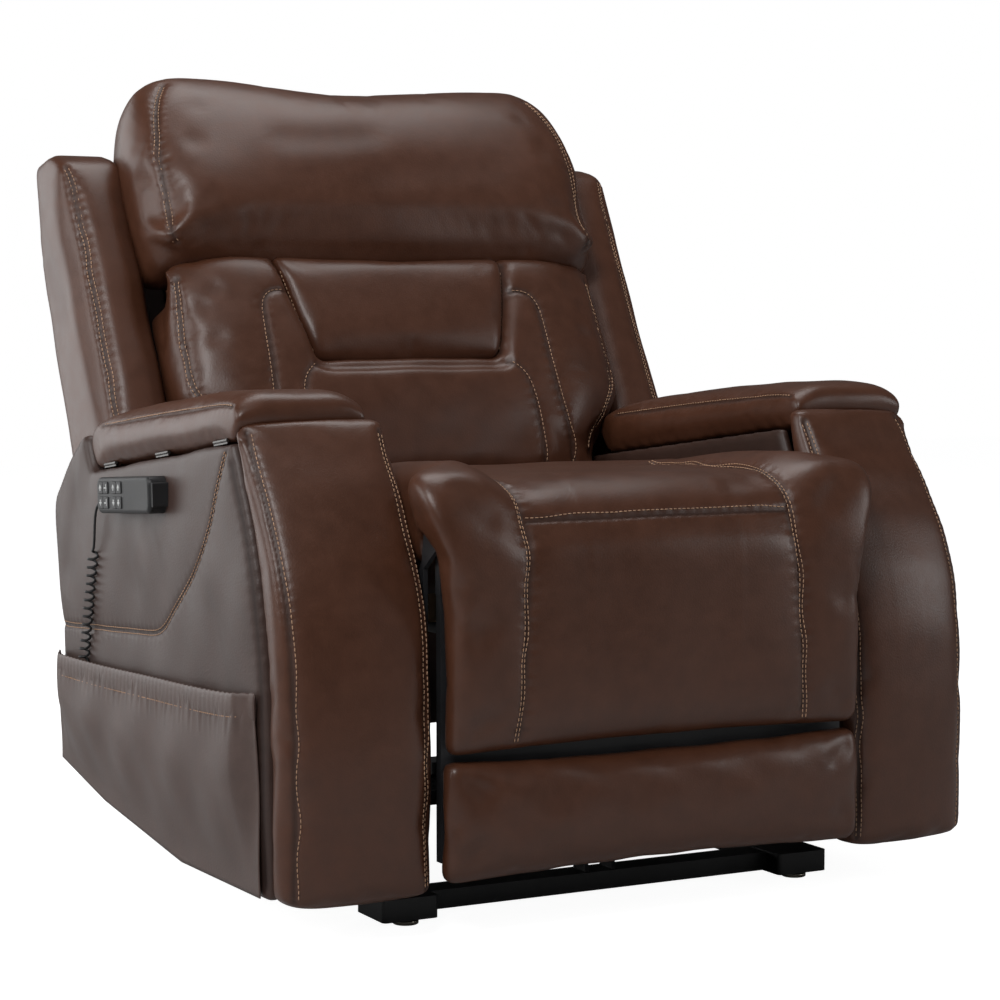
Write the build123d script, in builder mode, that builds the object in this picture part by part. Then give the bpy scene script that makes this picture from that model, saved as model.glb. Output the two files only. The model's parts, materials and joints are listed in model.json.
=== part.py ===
from build123d import *
import os
from math import atan2, cos, degrees, hypot, pi, radians, sin, tan

# Lift recliner chair. Millimetres, +Z up, the sitter faces -Y, the sitter's right hand is on -X.
# The origin is on the floor, in the middle of the footprint.

os.makedirs("parts", exist_ok=True)

# ---- driving dimensions -------------------------------------------------------------------
SIDES = (-1, 1)
SIDE_NAMES = {-1: "right", 1: "left"}

arm_outer_x = 478.0          # outside of the upholstered arm
arm_skin = 23.0              # thickness of the padded outer panel
arm_inner_x = 290.0          # inside face of the arm, next to the seat
arm_inner_skin = 14.0
arm_bottom_z = 54.0
arm_rear_y = 308.0
seat_half = 282.0            # half the width of the seat and legrest cushions
plate_in_x = 284.0           # inside face of the mechanism side plates
plate_thickness = 6.0

recline_pivot = (200.0, 410.0)     # y, z
recline_slope = 24.6               # the back's lean at rest, from vertical, degrees
legrest_pivot = (-456.0, 480.0)
legrest_nose = 33.0                # radius of the legrest's rounded top edge
headrest_hinge = (400.0, 45.0)     # along the back, and in front of its centre line
headrest_roll = 68.0               # radius of the pillow's rolled lower edge

front_base_pivot = (0.0, 88.0)
front_chair_pivot = (-250.0, 113.0)
rear_base_pivot = (180.0, 64.0)
rear_chair_pivot = (-180.0, 101.0)
pin_radius = 6.0
running_clearance = 0.05

base_rail_top = 32.0
base_rail_bottom = 9.0
foot_x = 278.0
foot_front_y = -357.0
foot_rear_y = 302.0

slope_sin = sin(radians(recline_slope))
slope_cos = cos(radians(recline_slope))


# ---- helpers ------------------------------------------------------------------------------
def save(piece, name):
    """Label a finished piece and write its STEP file."""
    piece.part.label = name
    export_step(piece.part, f"parts/{name}.step")


def on_back(along, front):
    """A point of the back, given along its slope and in front of its centre line, as (y, z)."""
    y = recline_pivot[0] + along * slope_sin - front * slope_cos
    z = recline_pivot[1] + along * slope_cos + front * slope_sin
    return (y, z)


def between(start, end, fraction):
    """The point a given fraction of the way from one (y, z) point to another."""
    return (start[0] + (end[0] - start[0]) * fraction, start[1] + (end[1] - start[1]) * fraction)


def slab(points, x_from, x_to):
    """A flat or thick plate: a side outline in (y, z), from one x to another."""
    with BuildPart() as plate:
        with BuildSketch(Plane.YZ.offset(x_from)):
            with BuildLine():
                Polyline(*points, close=True)
            make_face()
        extrude(amount=x_to - x_from)
    return plate.part


def rod_between(start, end, radius, x):
    """A round rod between two (y, z) points at one x."""
    run = (end[0] - start[0], end[1] - start[1])
    direction = Vector(0, run[0], run[1])
    with BuildPart() as rod:
        with BuildSketch(Plane(origin=(x, start[0], start[1]), z_dir=direction)):
            Circle(radius)
        extrude(amount=hypot(run[0], run[1]))
    return rod.part


def cross_pin(center, radius, x_from, x_to):
    """A round pin along X through a (y, z) point."""
    with BuildPart() as pin:
        with BuildSketch(Plane(origin=(x_from, center[0], center[1]), x_dir=(0, 1, 0), z_dir=(1, 0, 0))):
            Circle(radius)
        extrude(amount=x_to - x_from)
    return pin.part


def link_bar(start, end, half_width, hole, x_from, x_to):
    """A flat link with round ends and a hole at each end."""
    run = (end[0] - start[0], end[1] - start[1])
    length = hypot(run[0], run[1])
    middle = between(start, end, 0.5)
    with BuildPart() as link:
        with BuildSketch(Plane.YZ.offset(x_from)):
            with Locations(middle):
                SlotCenterToCenter(length, 2 * half_width, rotation=degrees(atan2(run[1], run[0])))
            with Locations(start, end):
                Circle(hole, mode=Mode.SUBTRACT)
        extrude(amount=x_to - x_from)
    return link.part


# ---- base ---------------------------------------------------------------------------------
crossbar_depth = 40.0
front_bar_y = -325.0
rear_bar_y = 270.0
block_in_x = 243.0
block_out_x = 316.0
block_bottom_z = 7.0
block_top_z = 34.0
block_length = 76.0
side_rail_x = 278.0
side_rail_width = 40.0
rail_height = base_rail_top - base_rail_bottom
rail_middle_z = (base_rail_top + base_rail_bottom) / 2
front_block_y = foot_front_y + 19.0
rear_block_y = foot_rear_y - 19.0

with BuildPart() as base_crossbars:
    for bar_y in (front_bar_y, rear_bar_y):
        with Locations((0, bar_y, rail_middle_z)):
            Box(2 * block_in_x, crossbar_depth, rail_height)
save(base_crossbars, "base_crossbars")

rail_front_y = front_block_y + block_length / 2
rail_rear_y = rear_block_y - block_length / 2
with BuildPart() as base_side_rails:
    for side in SIDES:
        with Locations((side * side_rail_x, (rail_front_y + rail_rear_y) / 2, rail_middle_z)):
            Box(side_rail_width, rail_rear_y - rail_front_y, rail_height)
save(base_side_rails, "base_side_rails")

block_corner = 6.0
with BuildPart() as base_corner_blocks:
    for side in SIDES:
        for block_y in (front_block_y, rear_block_y):
            with Locations((side * (block_in_x + block_out_x) / 2, block_y, (block_bottom_z + block_top_z) / 2)):
                Box(block_out_x - block_in_x, block_length, block_top_z - block_bottom_z)
    fillet(base_corner_blocks.edges().filter_by(Axis.Z), radius=block_corner)
save(base_corner_blocks, "base_corner_blocks")

foot_disc_radius = 15.5
foot_disc_height = 5.0
foot_stem_radius = 5.0
with BuildPart() as levelling_feet:
    for side in SIDES:
        for foot_y in (foot_front_y, foot_rear_y):
            with Locations((side * foot_x, foot_y, foot_disc_height / 2)):
                Cylinder(foot_disc_radius, foot_disc_height)
            with Locations((side * foot_x, foot_y, (foot_disc_height + block_bottom_z) / 2)):
                Cylinder(foot_stem_radius, block_bottom_z - foot_disc_height)
    disc_rims = levelling_feet.edges().filter_by(GeomType.CIRCLE)
    fillet(disc_rims.filter_by(lambda edge: edge.radius > foot_stem_radius + 1), radius=1.2)
save(levelling_feet, "levelling_feet")

bracket_in_x = 258.0
bracket_out_x = 264.0
bracket_eye = 16.0
bracket_spread = 34.0
actuator_anchor = (-325.0, 50.0)
anchor_ear_in = 16.0
anchor_ear_out = 22.0
anchor_eye = 9.0


def upright(pivot, eye, spread, x_from, x_to):
    """A bracket that rises from the base rail to an eye round a pivot."""
    with BuildPart() as bracket:
        with BuildSketch(Plane.YZ.offset(x_from)):
            with BuildLine():
                Polyline(
                    (pivot[0] - spread, base_rail_top),
                    (pivot[0] + spread, base_rail_top),
                    (pivot[0] + eye, pivot[1]),
                    (pivot[0] - eye, pivot[1]),
                    close=True,
                )
            make_face()
            with Locations(pivot):
                Circle(eye)
        extrude(amount=x_to - x_from)
    return bracket.part


with BuildPart() as base_pivot_brackets:
    for side in SIDES:
        for pivot in (front_base_pivot, rear_base_pivot):
            add(upright(pivot, bracket_eye, bracket_spread, side * bracket_in_x, side * bracket_out_x))
        add(upright(actuator_anchor, anchor_eye, 16.0, side * anchor_ear_in, side * anchor_ear_out))
save(base_pivot_brackets, "base_pivot_brackets")

front_link_in_x = 266.0
front_link_out_x = 272.0
rear_link_in_x = 275.0
rear_link_out_x = 281.0
pin_head_radius = 9.0
with BuildPart() as base_pivot_pins:
    for side in SIDES:
        add(cross_pin(front_base_pivot, pin_radius, side * bracket_out_x, side * 272.4))
        add(cross_pin(front_base_pivot, pin_head_radius, side * 272.4, side * 274.2))
        add(cross_pin(rear_base_pivot, pin_radius, side * bracket_out_x, side * 281.4))
        add(cross_pin(rear_base_pivot, pin_head_radius, side * 281.4, side * 283.2))
    add(cross_pin(actuator_anchor, 5.0, -anchor_ear_in, anchor_ear_in))
save(base_pivot_pins, "base_pivot_pins")

supply_size = (140.0, 46.0, 40.0)
supply_x = 130.0
inlet_size = (28.0, 14.0, 20.0)
with BuildPart() as power_supply:
    with Locations((supply_x, rear_bar_y, base_rail_top + supply_size[2] / 2)):
        Box(*supply_size)
    fillet(power_supply.edges().filter_by(Axis.Z), radius=6.0)
    with Locations((supply_x, rear_bar_y + supply_size[1] / 2, base_rail_top + supply_size[2] / 2)):
        Box(inlet_size[0], inlet_size[1] * 2, inlet_size[2], mode=Mode.SUBTRACT)
    with Locations((supply_x, rear_bar_y + supply_size[1] / 2 - inlet_size[1] / 2, 52.0)):
        with GridLocations(9.0, 1.0, 2, 1):
            Box(2.0, inlet_size[1], 6.0)
save(power_supply, "power_supply")

# ---- lift linkage -------------------------------------------------------------------------
torsion_tube_center = (-62.0, 106.0)
torsion_tube_radius = 10.5
lift_crank_tip = (-40.0, 200.0)
crank_half_gap = 10.0
crank_thickness = 6.0
link_half_width = 16.0
link_hole = pin_radius + running_clearance
open_pivot_hole = 9.0

with BuildPart() as front_lift_frame:
    for side in SIDES:
        add(link_bar(front_base_pivot, front_chair_pivot, link_half_width, link_hole,
                     side * front_link_in_x, side * front_link_out_x))
        add(link_bar(torsion_tube_center, lift_crank_tip, 13.0, 5.0,
                     side * crank_half_gap, side * (crank_half_gap + crank_thickness)))
    add(cross_pin(torsion_tube_center, torsion_tube_radius, -front_link_in_x, front_link_in_x))
save(front_lift_frame, "front_lift_frame")

with BuildPart() as rear_lift_links:
    for side in SIDES:
        add(link_bar(rear_base_pivot, rear_chair_pivot, 14.0, link_hole,
                     side * rear_link_in_x, side * rear_link_out_x))
        # The chair end is the linkage's open pivot: its hole is larger than its stud.
        add(cross_pin(rear_chair_pivot, open_pivot_hole, side * (rear_link_in_x - 1), side * (rear_link_out_x + 1)),
            mode=Mode.SUBTRACT)
save(rear_lift_links, "rear_lift_links")

# The actuator's housing turns on the base clevis; its rod ends just short of the crank's pin.
housing_radius = 24.0
housing_start = between(actuator_anchor, lift_crank_tip, 0.12)
housing_end = between(actuator_anchor, lift_crank_tip, 0.62)
lift_rod_end = between(actuator_anchor, lift_crank_tip, 0.985)
lift_rod_radius = 9.0
rod_bore = lift_rod_radius + running_clearance
gear_case = (58.0, 62.0, 86.0)

with BuildPart() as lift_motor:
    add(rod_between(housing_start, housing_end, housing_radius, 0))
    add(link_bar(actuator_anchor, housing_start, 9.0, 5.0 + running_clearance, -10.0, 10.0))
    add(rod_between(between(actuator_anchor, lift_crank_tip, 0.2), lift_rod_end, rod_bore, 0), mode=Mode.SUBTRACT)
    with BuildSketch(Plane.YZ.offset(-gear_case[0] / 2)):
        with Locations(between(actuator_anchor, lift_crank_tip, 0.2)):
            Rectangle(54.0, 50.0, rotation=27.8)
    extrude(amount=gear_case[0])
    add(rod_between(between(actuator_anchor, lift_crank_tip, 0.2), lift_rod_end, rod_bore, 0), mode=Mode.SUBTRACT)
save(lift_motor, "lift_motor")

with BuildPart() as lift_rod:
    add(rod_between(between(actuator_anchor, lift_crank_tip, 0.22), lift_rod_end, lift_rod_radius, 0))
save(lift_rod, "lift_rod")

# ---- chair body: mechanism ----------------------------------------------------------------
plate_out_x = plate_in_x + plate_thickness
plate_outline = [
    (-430, 75), (190, 75), (232, 112), (232, 436), (172, 436), (150, 384),
    (-380, 384), (-425, 436), (-438, 502), (-474, 502), (-474, 462), (-430, 430),
]
with BuildPart() as chassis_plates:
    for side in SIDES:
        add(slab(plate_outline, side * plate_in_x, side * plate_out_x))
save(chassis_plates, "chassis_plates")

pivot_lug_in_x = 270.0
pivot_lug_out_x = 280.0
stud_in_x = 268.0
with BuildPart() as chair_pivot_pins:
    for side in SIDES:
        add(cross_pin(front_chair_pivot, pin_radius, side * front_link_in_x, side * plate_in_x))
        add(cross_pin(rear_chair_pivot, pin_radius, side * rear_link_in_x, side * plate_in_x))
        add(cross_pin(recline_pivot, pin_radius, side * stud_in_x, side * plate_in_x))
        add(cross_pin(legrest_pivot, pin_radius, side * stud_in_x, side * plate_in_x))
save(chair_pivot_pins, "chair_pivot_pins")

front_rail_y = -242.0
rear_rail_y = 130.0
rail_size = (2 * plate_in_x, 40.0, 40.0)
rail_z = 365.0
with BuildPart() as seat_rails:
    for rail_y in (front_rail_y, rear_rail_y):
        with Locations((0, rail_y, rail_z)):
            Box(*rail_size)
save(seat_rails, "seat_rails")

spring_wire = 4.0
spring_pitch = 24.0
spring_half_width = 20.0
spring_positions = [-200.0, -100.0, 0.0, 100.0, 200.0]
spring_turns = 15
with BuildPart() as seat_springs:
    for spring_x in spring_positions:
        with BuildSketch(Plane.XY.offset(rail_z + rail_size[2] / 2)):
            with BuildLine() as spring_line:
                corners = []
                for turn in range(spring_turns + 1):
                    swing = spring_half_width if turn % 2 else -spring_half_width
                    corners.append((spring_x + swing, front_rail_y + turn * spring_pitch))
                    corners.append((spring_x - swing, front_rail_y + turn * spring_pitch))
                FilletPolyline(*corners, radius=spring_pitch * 0.45)
            trace(line_width=spring_wire)
        extrude(amount=spring_wire)
save(seat_springs, "seat_springs")

seat_bottom_z = 392.0
seat_front_y = -418.0
with BuildPart() as seat_cushion:
    with BuildSketch(Plane.YZ.offset(-seat_half)):
        with BuildLine():
            Polyline((-395, 492), (seat_front_y, 470), (seat_front_y, 440), (-340, seat_bottom_z),
                     (78, seat_bottom_z), (110, 497))
            Spline((110, 497), (-100, 514), (-300, 520), (-395, 492))
        make_face()
    extrude(amount=2 * seat_half)
save(seat_cushion, "seat_cushion")

# Actuator housings under the seat: legrest on the left of centre, recline on the right.
legrest_crank = (-444.0, 420.0)
legrest_rod_slope = 31.2
legrest_rod_gap = 3.0
legrest_motor_x = 60.0
recline_crank = (238.0, 318.0)
recline_motor_x = -60.0
seat_rod_radius = 8.0
seat_housing_radius = 22.0
legrest_axis = (cos(radians(legrest_rod_slope)), -sin(radians(legrest_rod_slope)))


def on_legrest_rod(distance):
    """A point behind the legrest crank, along its actuator, as (y, z)."""
    return (legrest_crank[0] + legrest_axis[0] * distance, legrest_crank[1] + legrest_axis[1] * distance)


recline_housing_front = (-160.0, recline_crank[1])
recline_housing_rear = (100.0, recline_crank[1])
seat_rod_bore = seat_rod_radius + running_clearance
with BuildPart() as seat_motors:
    add(rod_between(on_legrest_rod(130), on_legrest_rod(330), seat_housing_radius, legrest_motor_x))
    add(rod_between(on_legrest_rod(120), on_legrest_rod(300), seat_rod_bore, legrest_motor_x), mode=Mode.SUBTRACT)
    add(rod_between(on_legrest_rod(300), on_legrest_rod(345), 34.0, legrest_motor_x))
    add(rod_between(recline_housing_rear, recline_housing_front, seat_housing_radius, recline_motor_x))
    add(rod_between((110, recline_crank[1]), (-130, recline_crank[1]), seat_rod_bore, recline_motor_x),
        mode=Mode.SUBTRACT)
    add(rod_between((-130, recline_crank[1]), (-175, recline_crank[1]), 34.0, recline_motor_x))
save(seat_motors, "seat_motors")

with BuildPart() as legrest_rod:
    add(rod_between(on_legrest_rod(legrest_rod_gap), on_legrest_rod(250), seat_rod_radius, legrest_motor_x))
save(legrest_rod, "legrest_rod")

with BuildPart() as recline_rod:
    add(rod_between(recline_crank, (-20, recline_crank[1]), seat_rod_radius, recline_motor_x))
save(recline_rod, "recline_rod")

# ---- arms ---------------------------------------------------------------------------------
lid_in_x = 306.0
lid_out_x = 473.0
lid_low_front = (-303.0, 583.0)
lid_low_rear = (166.0, 527.0)
lid_board_height = 12.0
lid_board_inset = 8.0
lid_slope = (lid_low_rear[1] - lid_low_front[1]) / (lid_low_rear[0] - lid_low_front[0])
lid_hinge_radius = 3.0
lid_hinge_drop = 5.0
lid_gap = 9.0                # from the lid's underside to the arm's top edge
lid_hinge_places = (-262.0, -70.0, 120.0)
leaf_length = 42.0


def lid_low(y):
    """Height of the lid's sloping underside at a given y."""
    return lid_low_front[1] + (y - lid_low_front[0]) * lid_slope


def along_lid(y, drop):
    """A (y, z) point a given drop below the lid's underside."""
    return (y, lid_low(y) - drop)


front_curve = [(-326, 600), (-388, 500), (-440, 390), (-457, 250), (-456, arm_bottom_z)]
gusset_curve = [(-304.5, 600), (-324, 532), (-353, 476), (-381, 399), (-400, 280), (-408, arm_bottom_z)]
panel_top = along_lid(-301, lid_gap)
panel_curve = [panel_top, (-322, 532), (-351, 476), (-379, 399), (-398, 280), (-406, arm_bottom_z)]

for side in SIDES:
    with BuildPart() as arm_front:
        with BuildSketch(Plane.YZ.offset(side * arm_inner_x)):
            with BuildLine():
                Spline(*front_curve)
                Line(front_curve[-1], gusset_curve[-1])
                Spline(*gusset_curve)
                Line(gusset_curve[0], front_curve[0])
            make_face()
        extrude(amount=side * (arm_outer_x - arm_inner_x))
    save(arm_front, f"{SIDE_NAMES[side]}_arm_front")

    with BuildPart() as arm_outer:
        with BuildSketch(Plane.YZ.offset(side * (arm_outer_x - arm_skin))):
            with BuildLine():
                Spline(*panel_curve)
                Polyline(panel_curve[-1], (-155, 53), (122, 84), (arm_rear_y - 10, 118), (arm_rear_y, 318))
                Spline((arm_rear_y, 318), (334, 450), (300, 500), (208, 564))
                Polyline((208, 564), (199, 560), along_lid(176, lid_gap), panel_top)
            make_face()
        extrude(amount=side * arm_skin)
    save(arm_outer, f"{SIDE_NAMES[side]}_arm_outer")

    with BuildPart() as arm_inner:
        with BuildSketch(Plane.YZ.offset(side * arm_inner_x)):
            with BuildLine():
                Spline(*panel_curve)
                Polyline(panel_curve[-1], (190, arm_bottom_z + 30), along_lid(190, lid_gap), panel_top)
            make_face()
        extrude(amount=side * arm_inner_skin)
    save(arm_inner, f"{SIDE_NAMES[side]}_arm_inner")

tray_in_x = arm_inner_x + arm_inner_skin
tray_out_x = arm_outer_x - arm_skin
tray_front_y = -296.0
tray_rear_y = 150.0
tray_floor_z = 430.0
tray_top_z = 512.0
tray_wall = 4.0
for side in SIDES:
    with BuildPart() as storage_tray:
        with Locations((side * (tray_in_x + tray_out_x) / 2, (tray_front_y + tray_rear_y) / 2,
                        (tray_floor_z + tray_top_z) / 2)):
            Box(tray_out_x - tray_in_x, tray_rear_y - tray_front_y, tray_top_z - tray_floor_z)
        offset(amount=-tray_wall, openings=storage_tray.faces().sort_by(Axis.Z)[-1:])
    save(storage_tray, f"{SIDE_NAMES[side]}_storage_tray")

# ---- armrest lids -------------------------------------------------------------------------
for side in SIDES:
    board_outline = [
        along_lid(lid_low_front[0] + lid_board_inset, 0), along_lid(lid_low_rear[0] - lid_board_inset, 0),
        along_lid(lid_low_rear[0] - lid_board_inset, -lid_board_height),
        along_lid(lid_low_front[0] + lid_board_inset, -lid_board_height),
    ]
    board = slab(board_outline, side * (lid_in_x + lid_board_inset), side * (lid_out_x - lid_board_inset))
    with BuildPart() as lid_pad:
        with BuildSketch(Plane.YZ.offset(side * lid_in_x)):
            with BuildLine():
                Polyline(lid_low_front, lid_low_rear, (190, 560))
                Spline((190, 560), (188, 580), (168, 590), (-90, 619), (-280, 632), (-312, 625), (-318, 610))
                Polyline((-318, 610), (-303, 607), lid_low_front)
            make_face()
        extrude(amount=side * (lid_out_x - lid_in_x))
        add(board, mode=Mode.SUBTRACT)
    save(lid_pad, f"{SIDE_NAMES[side]}_lid_pad")

    with BuildPart() as lid_board:
        add(board)
        for place in lid_hinge_places:
            start = along_lid(place - leaf_length / 2, 0)
            end = along_lid(place + leaf_length / 2, 0)
            low = [along_lid(place + leaf_length / 2, 3.0), along_lid(place - leaf_length / 2, 3.0)]
            add(slab([start, end] + low, side * (lid_out_x - 40), side * (lid_out_x - 8)))
    save(lid_board, f"{SIDE_NAMES[side]}_lid_board")

with BuildPart() as lid_hinge_leaves:
    for side in SIDES:
        for place in lid_hinge_places:
            pin_start = along_lid(place - leaf_length / 2, lid_hinge_drop)
            pin_end = along_lid(place + leaf_length / 2, lid_hinge_drop)
            add(rod_between(pin_start, pin_end, lid_hinge_radius - 0.8, side * (lid_out_x - 3)))
            leaf = [
                along_lid(place - leaf_length / 2, lid_hinge_drop), along_lid(place + leaf_length / 2, lid_hinge_drop),
                along_lid(place + leaf_length / 2, lid_gap), along_lid(place - leaf_length / 2, lid_gap),
            ]
            add(slab(leaf, side * (lid_out_x - 3.8), side * (lid_out_x - 2.2)))
save(lid_hinge_leaves, "lid_hinge_leaves")

# ---- side pockets and rear cover -----------------------------------------------------------
pocket_wall = 3.0
pocket_depth = 18.0
pocket_outline = [
    (-392, 60), (-155, 55), (122, 86), (292, 117), (300, 264), (-75, 274), (-388, 291),
]
pocket_hollow = [
    (-380, 72), (-155, 66), (120, 97), (281, 126), (288, 300), (-75, 300), (-376, 300),
]
for side in SIDES:
    with BuildPart() as side_pocket:
        add(slab(pocket_outline, side * arm_outer_x, side * (arm_outer_x + pocket_depth + pocket_wall)))
        add(slab(pocket_hollow, side * (arm_outer_x - 1), side * (arm_outer_x + pocket_depth)), mode=Mode.SUBTRACT)
    save(side_pocket, f"{SIDE_NAMES[side]}_side_pocket")

cover_half = arm_outer_x - arm_skin - 2
with BuildPart() as rear_cover:
    add(slab([(286, 122), (294, 122), (294, 308), (286, 308)], -cover_half, cover_half))
save(rear_cover, "rear_cover")

# ---- handset and its cord -----------------------------------------------------------------
handset_length = 190.0
handset_height = 46.0
handset_depth = 24.0
handset_middle = (-15.0, 496.0)
handset_tilt = -3.6
handset_back_x = -(arm_outer_x + 2)
handset_face_x = handset_back_x - handset_depth
key_size = (17.0, 15.0)
key_travel = 1.2
key_proud = 1.5
key_clearance = 0.3
key_well = 4.5
key_columns = (76.0, 57.5, 27.5, 9.0)
key_rows = (9.5, -9.5)


def on_handset(along, up):
    """A (y, z) point of the handset, from its middle, along its length and up its height."""
    turn = radians(handset_tilt)
    y = handset_middle[0] + along * cos(turn) - up * sin(turn)
    z = handset_middle[1] + along * sin(turn) + up * cos(turn)
    return (y, z)


def handset_plane(x):
    """A plane across the handset at one x, looking outwards, turned with the handset."""
    turn = radians(handset_tilt)
    return Plane(origin=(x, handset_middle[0], handset_middle[1]), x_dir=(0, cos(turn), sin(turn)), z_dir=(1, 0, 0))


with BuildPart() as handset_case:
    with BuildSketch(handset_plane(handset_face_x)):
        RectangleRounded(handset_length, handset_height, 11.0)
    extrude(amount=handset_depth)
    fillet(handset_case.faces().sort_by(Axis.X)[0].edges(), radius=5.0)
    with BuildSketch(handset_plane(handset_face_x)):
        for column in key_columns:
            for row in key_rows:
                with Locations((column, row)):
                    RectangleRounded(key_size[0] + 2 * key_clearance, key_size[1] + 2 * key_clearance, 2.3)
    extrude(amount=key_well, mode=Mode.SUBTRACT)
save(handset_case, "handset_case")

key_floor_gap = key_well - key_travel - 1.0
key_number = 0
for column in key_columns:
    for row in key_rows:
        key_number += 1
        with BuildPart() as handset_key:
            with BuildSketch(handset_plane(handset_face_x - key_proud)):
                with Locations((column, row)):
                    RectangleRounded(key_size[0], key_size[1], 2.0)
            extrude(amount=key_proud + key_floor_gap)
            chamfer(handset_key.faces().sort_by(Axis.X)[0].edges(), length=0.5)
        save(handset_key, f"handset_key_{key_number}")

clip_outline_height = handset_height + 10.0
with BuildPart() as handset_clip:
    with BuildSketch(handset_plane(-arm_outer_x - 1.8)):
        with Locations((-60.0, 0)):
            RectangleRounded(52.0, clip_outline_height - 14.0, 4.0)
    extrude(amount=1.8)
    with BuildSketch(handset_plane(handset_face_x + 3.0)):
        with Locations((-handset_length / 2 - 3.2, 0)):
            RectangleRounded(6.0, handset_height - 16.0, 2.0)
    extrude(amount=handset_depth - 1.0)
save(handset_clip, "handset_clip")

# The cord: a straight lead, a curly stretch into the pocket, and a short tail into a grommet.
cord_radius = 1.7
cord_x = -491.0
coil_x = -488.0
coil_radius = 7.5
relief_start = on_handset(handset_length / 2, -6.0)
relief_length = 14.0
lead_route = [
    (cord_x, relief_start[0] + relief_length, relief_start[1] - 0.9),
    (cord_x, 113.0, 477.0),
    (cord_x, 124.0, 459.0),
    (cord_x + 1.0, 129.0, 437.0),
    (coil_x, 138.0, 416.0),
]
tail_route = [
    (coil_x, 187.0, 250.0),
    (coil_x, 190.5, 238.0),
    (coil_x + 3.5, 193.5, 228.5),
    (-481.0, 195.0, 220.0),
]


def bend_radii(route):
    """The arc radius for each corner of a route: 0.45 of the shorter run over tan(half the turn)."""
    points = [Vector(*point) for point in route]
    radii = []
    for before, corner, after in zip(points, points[1:], points[2:]):
        turn = (corner - before).get_angle(after - corner)
        shorter = min((corner - before).length, (after - corner).length)
        radii.append(0.45 * shorter / tan(radians(turn / 2)))
    return radii


def cord_tube(route, radius, name):
    """A round cord along straight runs joined by tangent arcs."""
    radii = bend_radii(route)
    with BuildPart() as tube:
        with BuildLine() as path:
            FilletPolyline(*route, radius=radii)
        track = path.wires()[0]
        with BuildSketch(Plane(origin=track @ 0, z_dir=track % 0)):
            Circle(radius)
        sweep(path=track)
    expected = pi * radius * radius * track.length
    rounded = [round(value, 1) for value in radii]
    print(name, "radii", rounded, "length", round(track.length, 1),
          "volume over expected", round(tube.part.volume / expected, 4))
    save(tube, name)


cord_tube(lead_route, cord_radius, "handset_cord_lead")
cord_tube(tail_route, cord_radius, "handset_cord_tail")

coil_start = Vector(*lead_route[-1])
coil_end = Vector(*tail_route[0])
with BuildPart() as handset_cord_coil:
    with BuildSketch(Plane(origin=coil_start, z_dir=coil_end - coil_start)):
        Circle(coil_radius)
    extrude(amount=(coil_end - coil_start).length)
save(handset_cord_coil, "handset_cord_coil")

relief_end = Vector(*lead_route[0])
relief_base = Vector(cord_x, relief_start[0], relief_start[1])
with BuildPart() as handset_strain_relief:
    with BuildSketch(Plane(origin=relief_base, z_dir=relief_end - relief_base)):
        Circle(4.0)
    with BuildSketch(Plane(origin=relief_end, z_dir=relief_end - relief_base)):
        Circle(2.4)
    loft()
save(handset_strain_relief, "handset_strain_relief")

grommet_radius = 8.0
with BuildPart() as cord_grommet:
    with BuildSketch(Plane(origin=(-arm_outer_x - 3.0, tail_route[-1][1], tail_route[-1][2]), z_dir=(1, 0, 0))):
        Circle(grommet_radius)
    extrude(amount=3.0)
save(cord_grommet, "cord_grommet")

# ---- back ---------------------------------------------------------------------------------
back_half = 342.0
wing_in_x = 345.0
wing_out_x = 440.0
cushion_front = 108.0
cushion_rear = 5.0
cushion_low = 28.0
lid_clear_z = 680.0          # below this height the back cushion is no wider than the seat
roll_gap = 0.6
frame_front = -27.0
frame_rear = -62.0
frame_top = 560.0

hinge_yz = on_back(*headrest_hinge)
window_low = 214.0
window_high = 330.0
lumbar_floor = 68.0
lumbar_low_half = 142.0
lumbar_high_half = 172.0


def back_slab(points, x_from, x_to):
    """A slab whose outline is given in the back's own directions (along, front)."""
    return slab([on_back(*point) for point in points], x_from, x_to)


def lumbar_block(margin, front_low, front_high):
    """A block across the lumbar window, wider at the top, from one depth of the back to another."""
    origin_y, origin_z = on_back(0, front_low)
    with BuildPart() as block:
        with BuildSketch(Plane(origin=(0, origin_y, origin_z), x_dir=(1, 0, 0), z_dir=(0, -slope_cos, slope_sin))):
            with BuildLine():
                Polyline(
                    (-lumbar_low_half - margin, window_low - margin),
                    (lumbar_low_half + margin, window_low - margin),
                    (lumbar_high_half + margin, window_high + margin),
                    (-lumbar_high_half - margin, window_high + margin),
                    close=True,
                )
            make_face()
        extrude(amount=front_high - front_low)
    return block.part


with BuildPart() as back_cushion:
    add(back_slab([(cushion_low, cushion_rear), (395, cushion_rear), (395, cushion_front), (cushion_low, cushion_front)],
                  -back_half, back_half))
    add(cross_pin(hinge_yz, headrest_roll + roll_gap, -400, 400), mode=Mode.SUBTRACT)
    add(back_slab([(363, -20), (420, -20), (420, 140), (363, 140)], -400, 400), mode=Mode.SUBTRACT)
    # Its sides step in beside the armrest lids, which swing up past them.
    for side in SIDES:
        with Locations((side * (seat_half + 50), 200, lid_clear_z - 140)):
            Box(100, 500, 280, mode=Mode.SUBTRACT)
    add(lumbar_block(1.0, lumbar_floor, cushion_front + 20), mode=Mode.SUBTRACT)
save(back_cushion, "back_cushion")

with BuildPart() as lumbar_pad:
    add(lumbar_block(0.0, lumbar_floor + 0.5, cushion_front))
save(lumbar_pad, "lumbar_pad")

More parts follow.
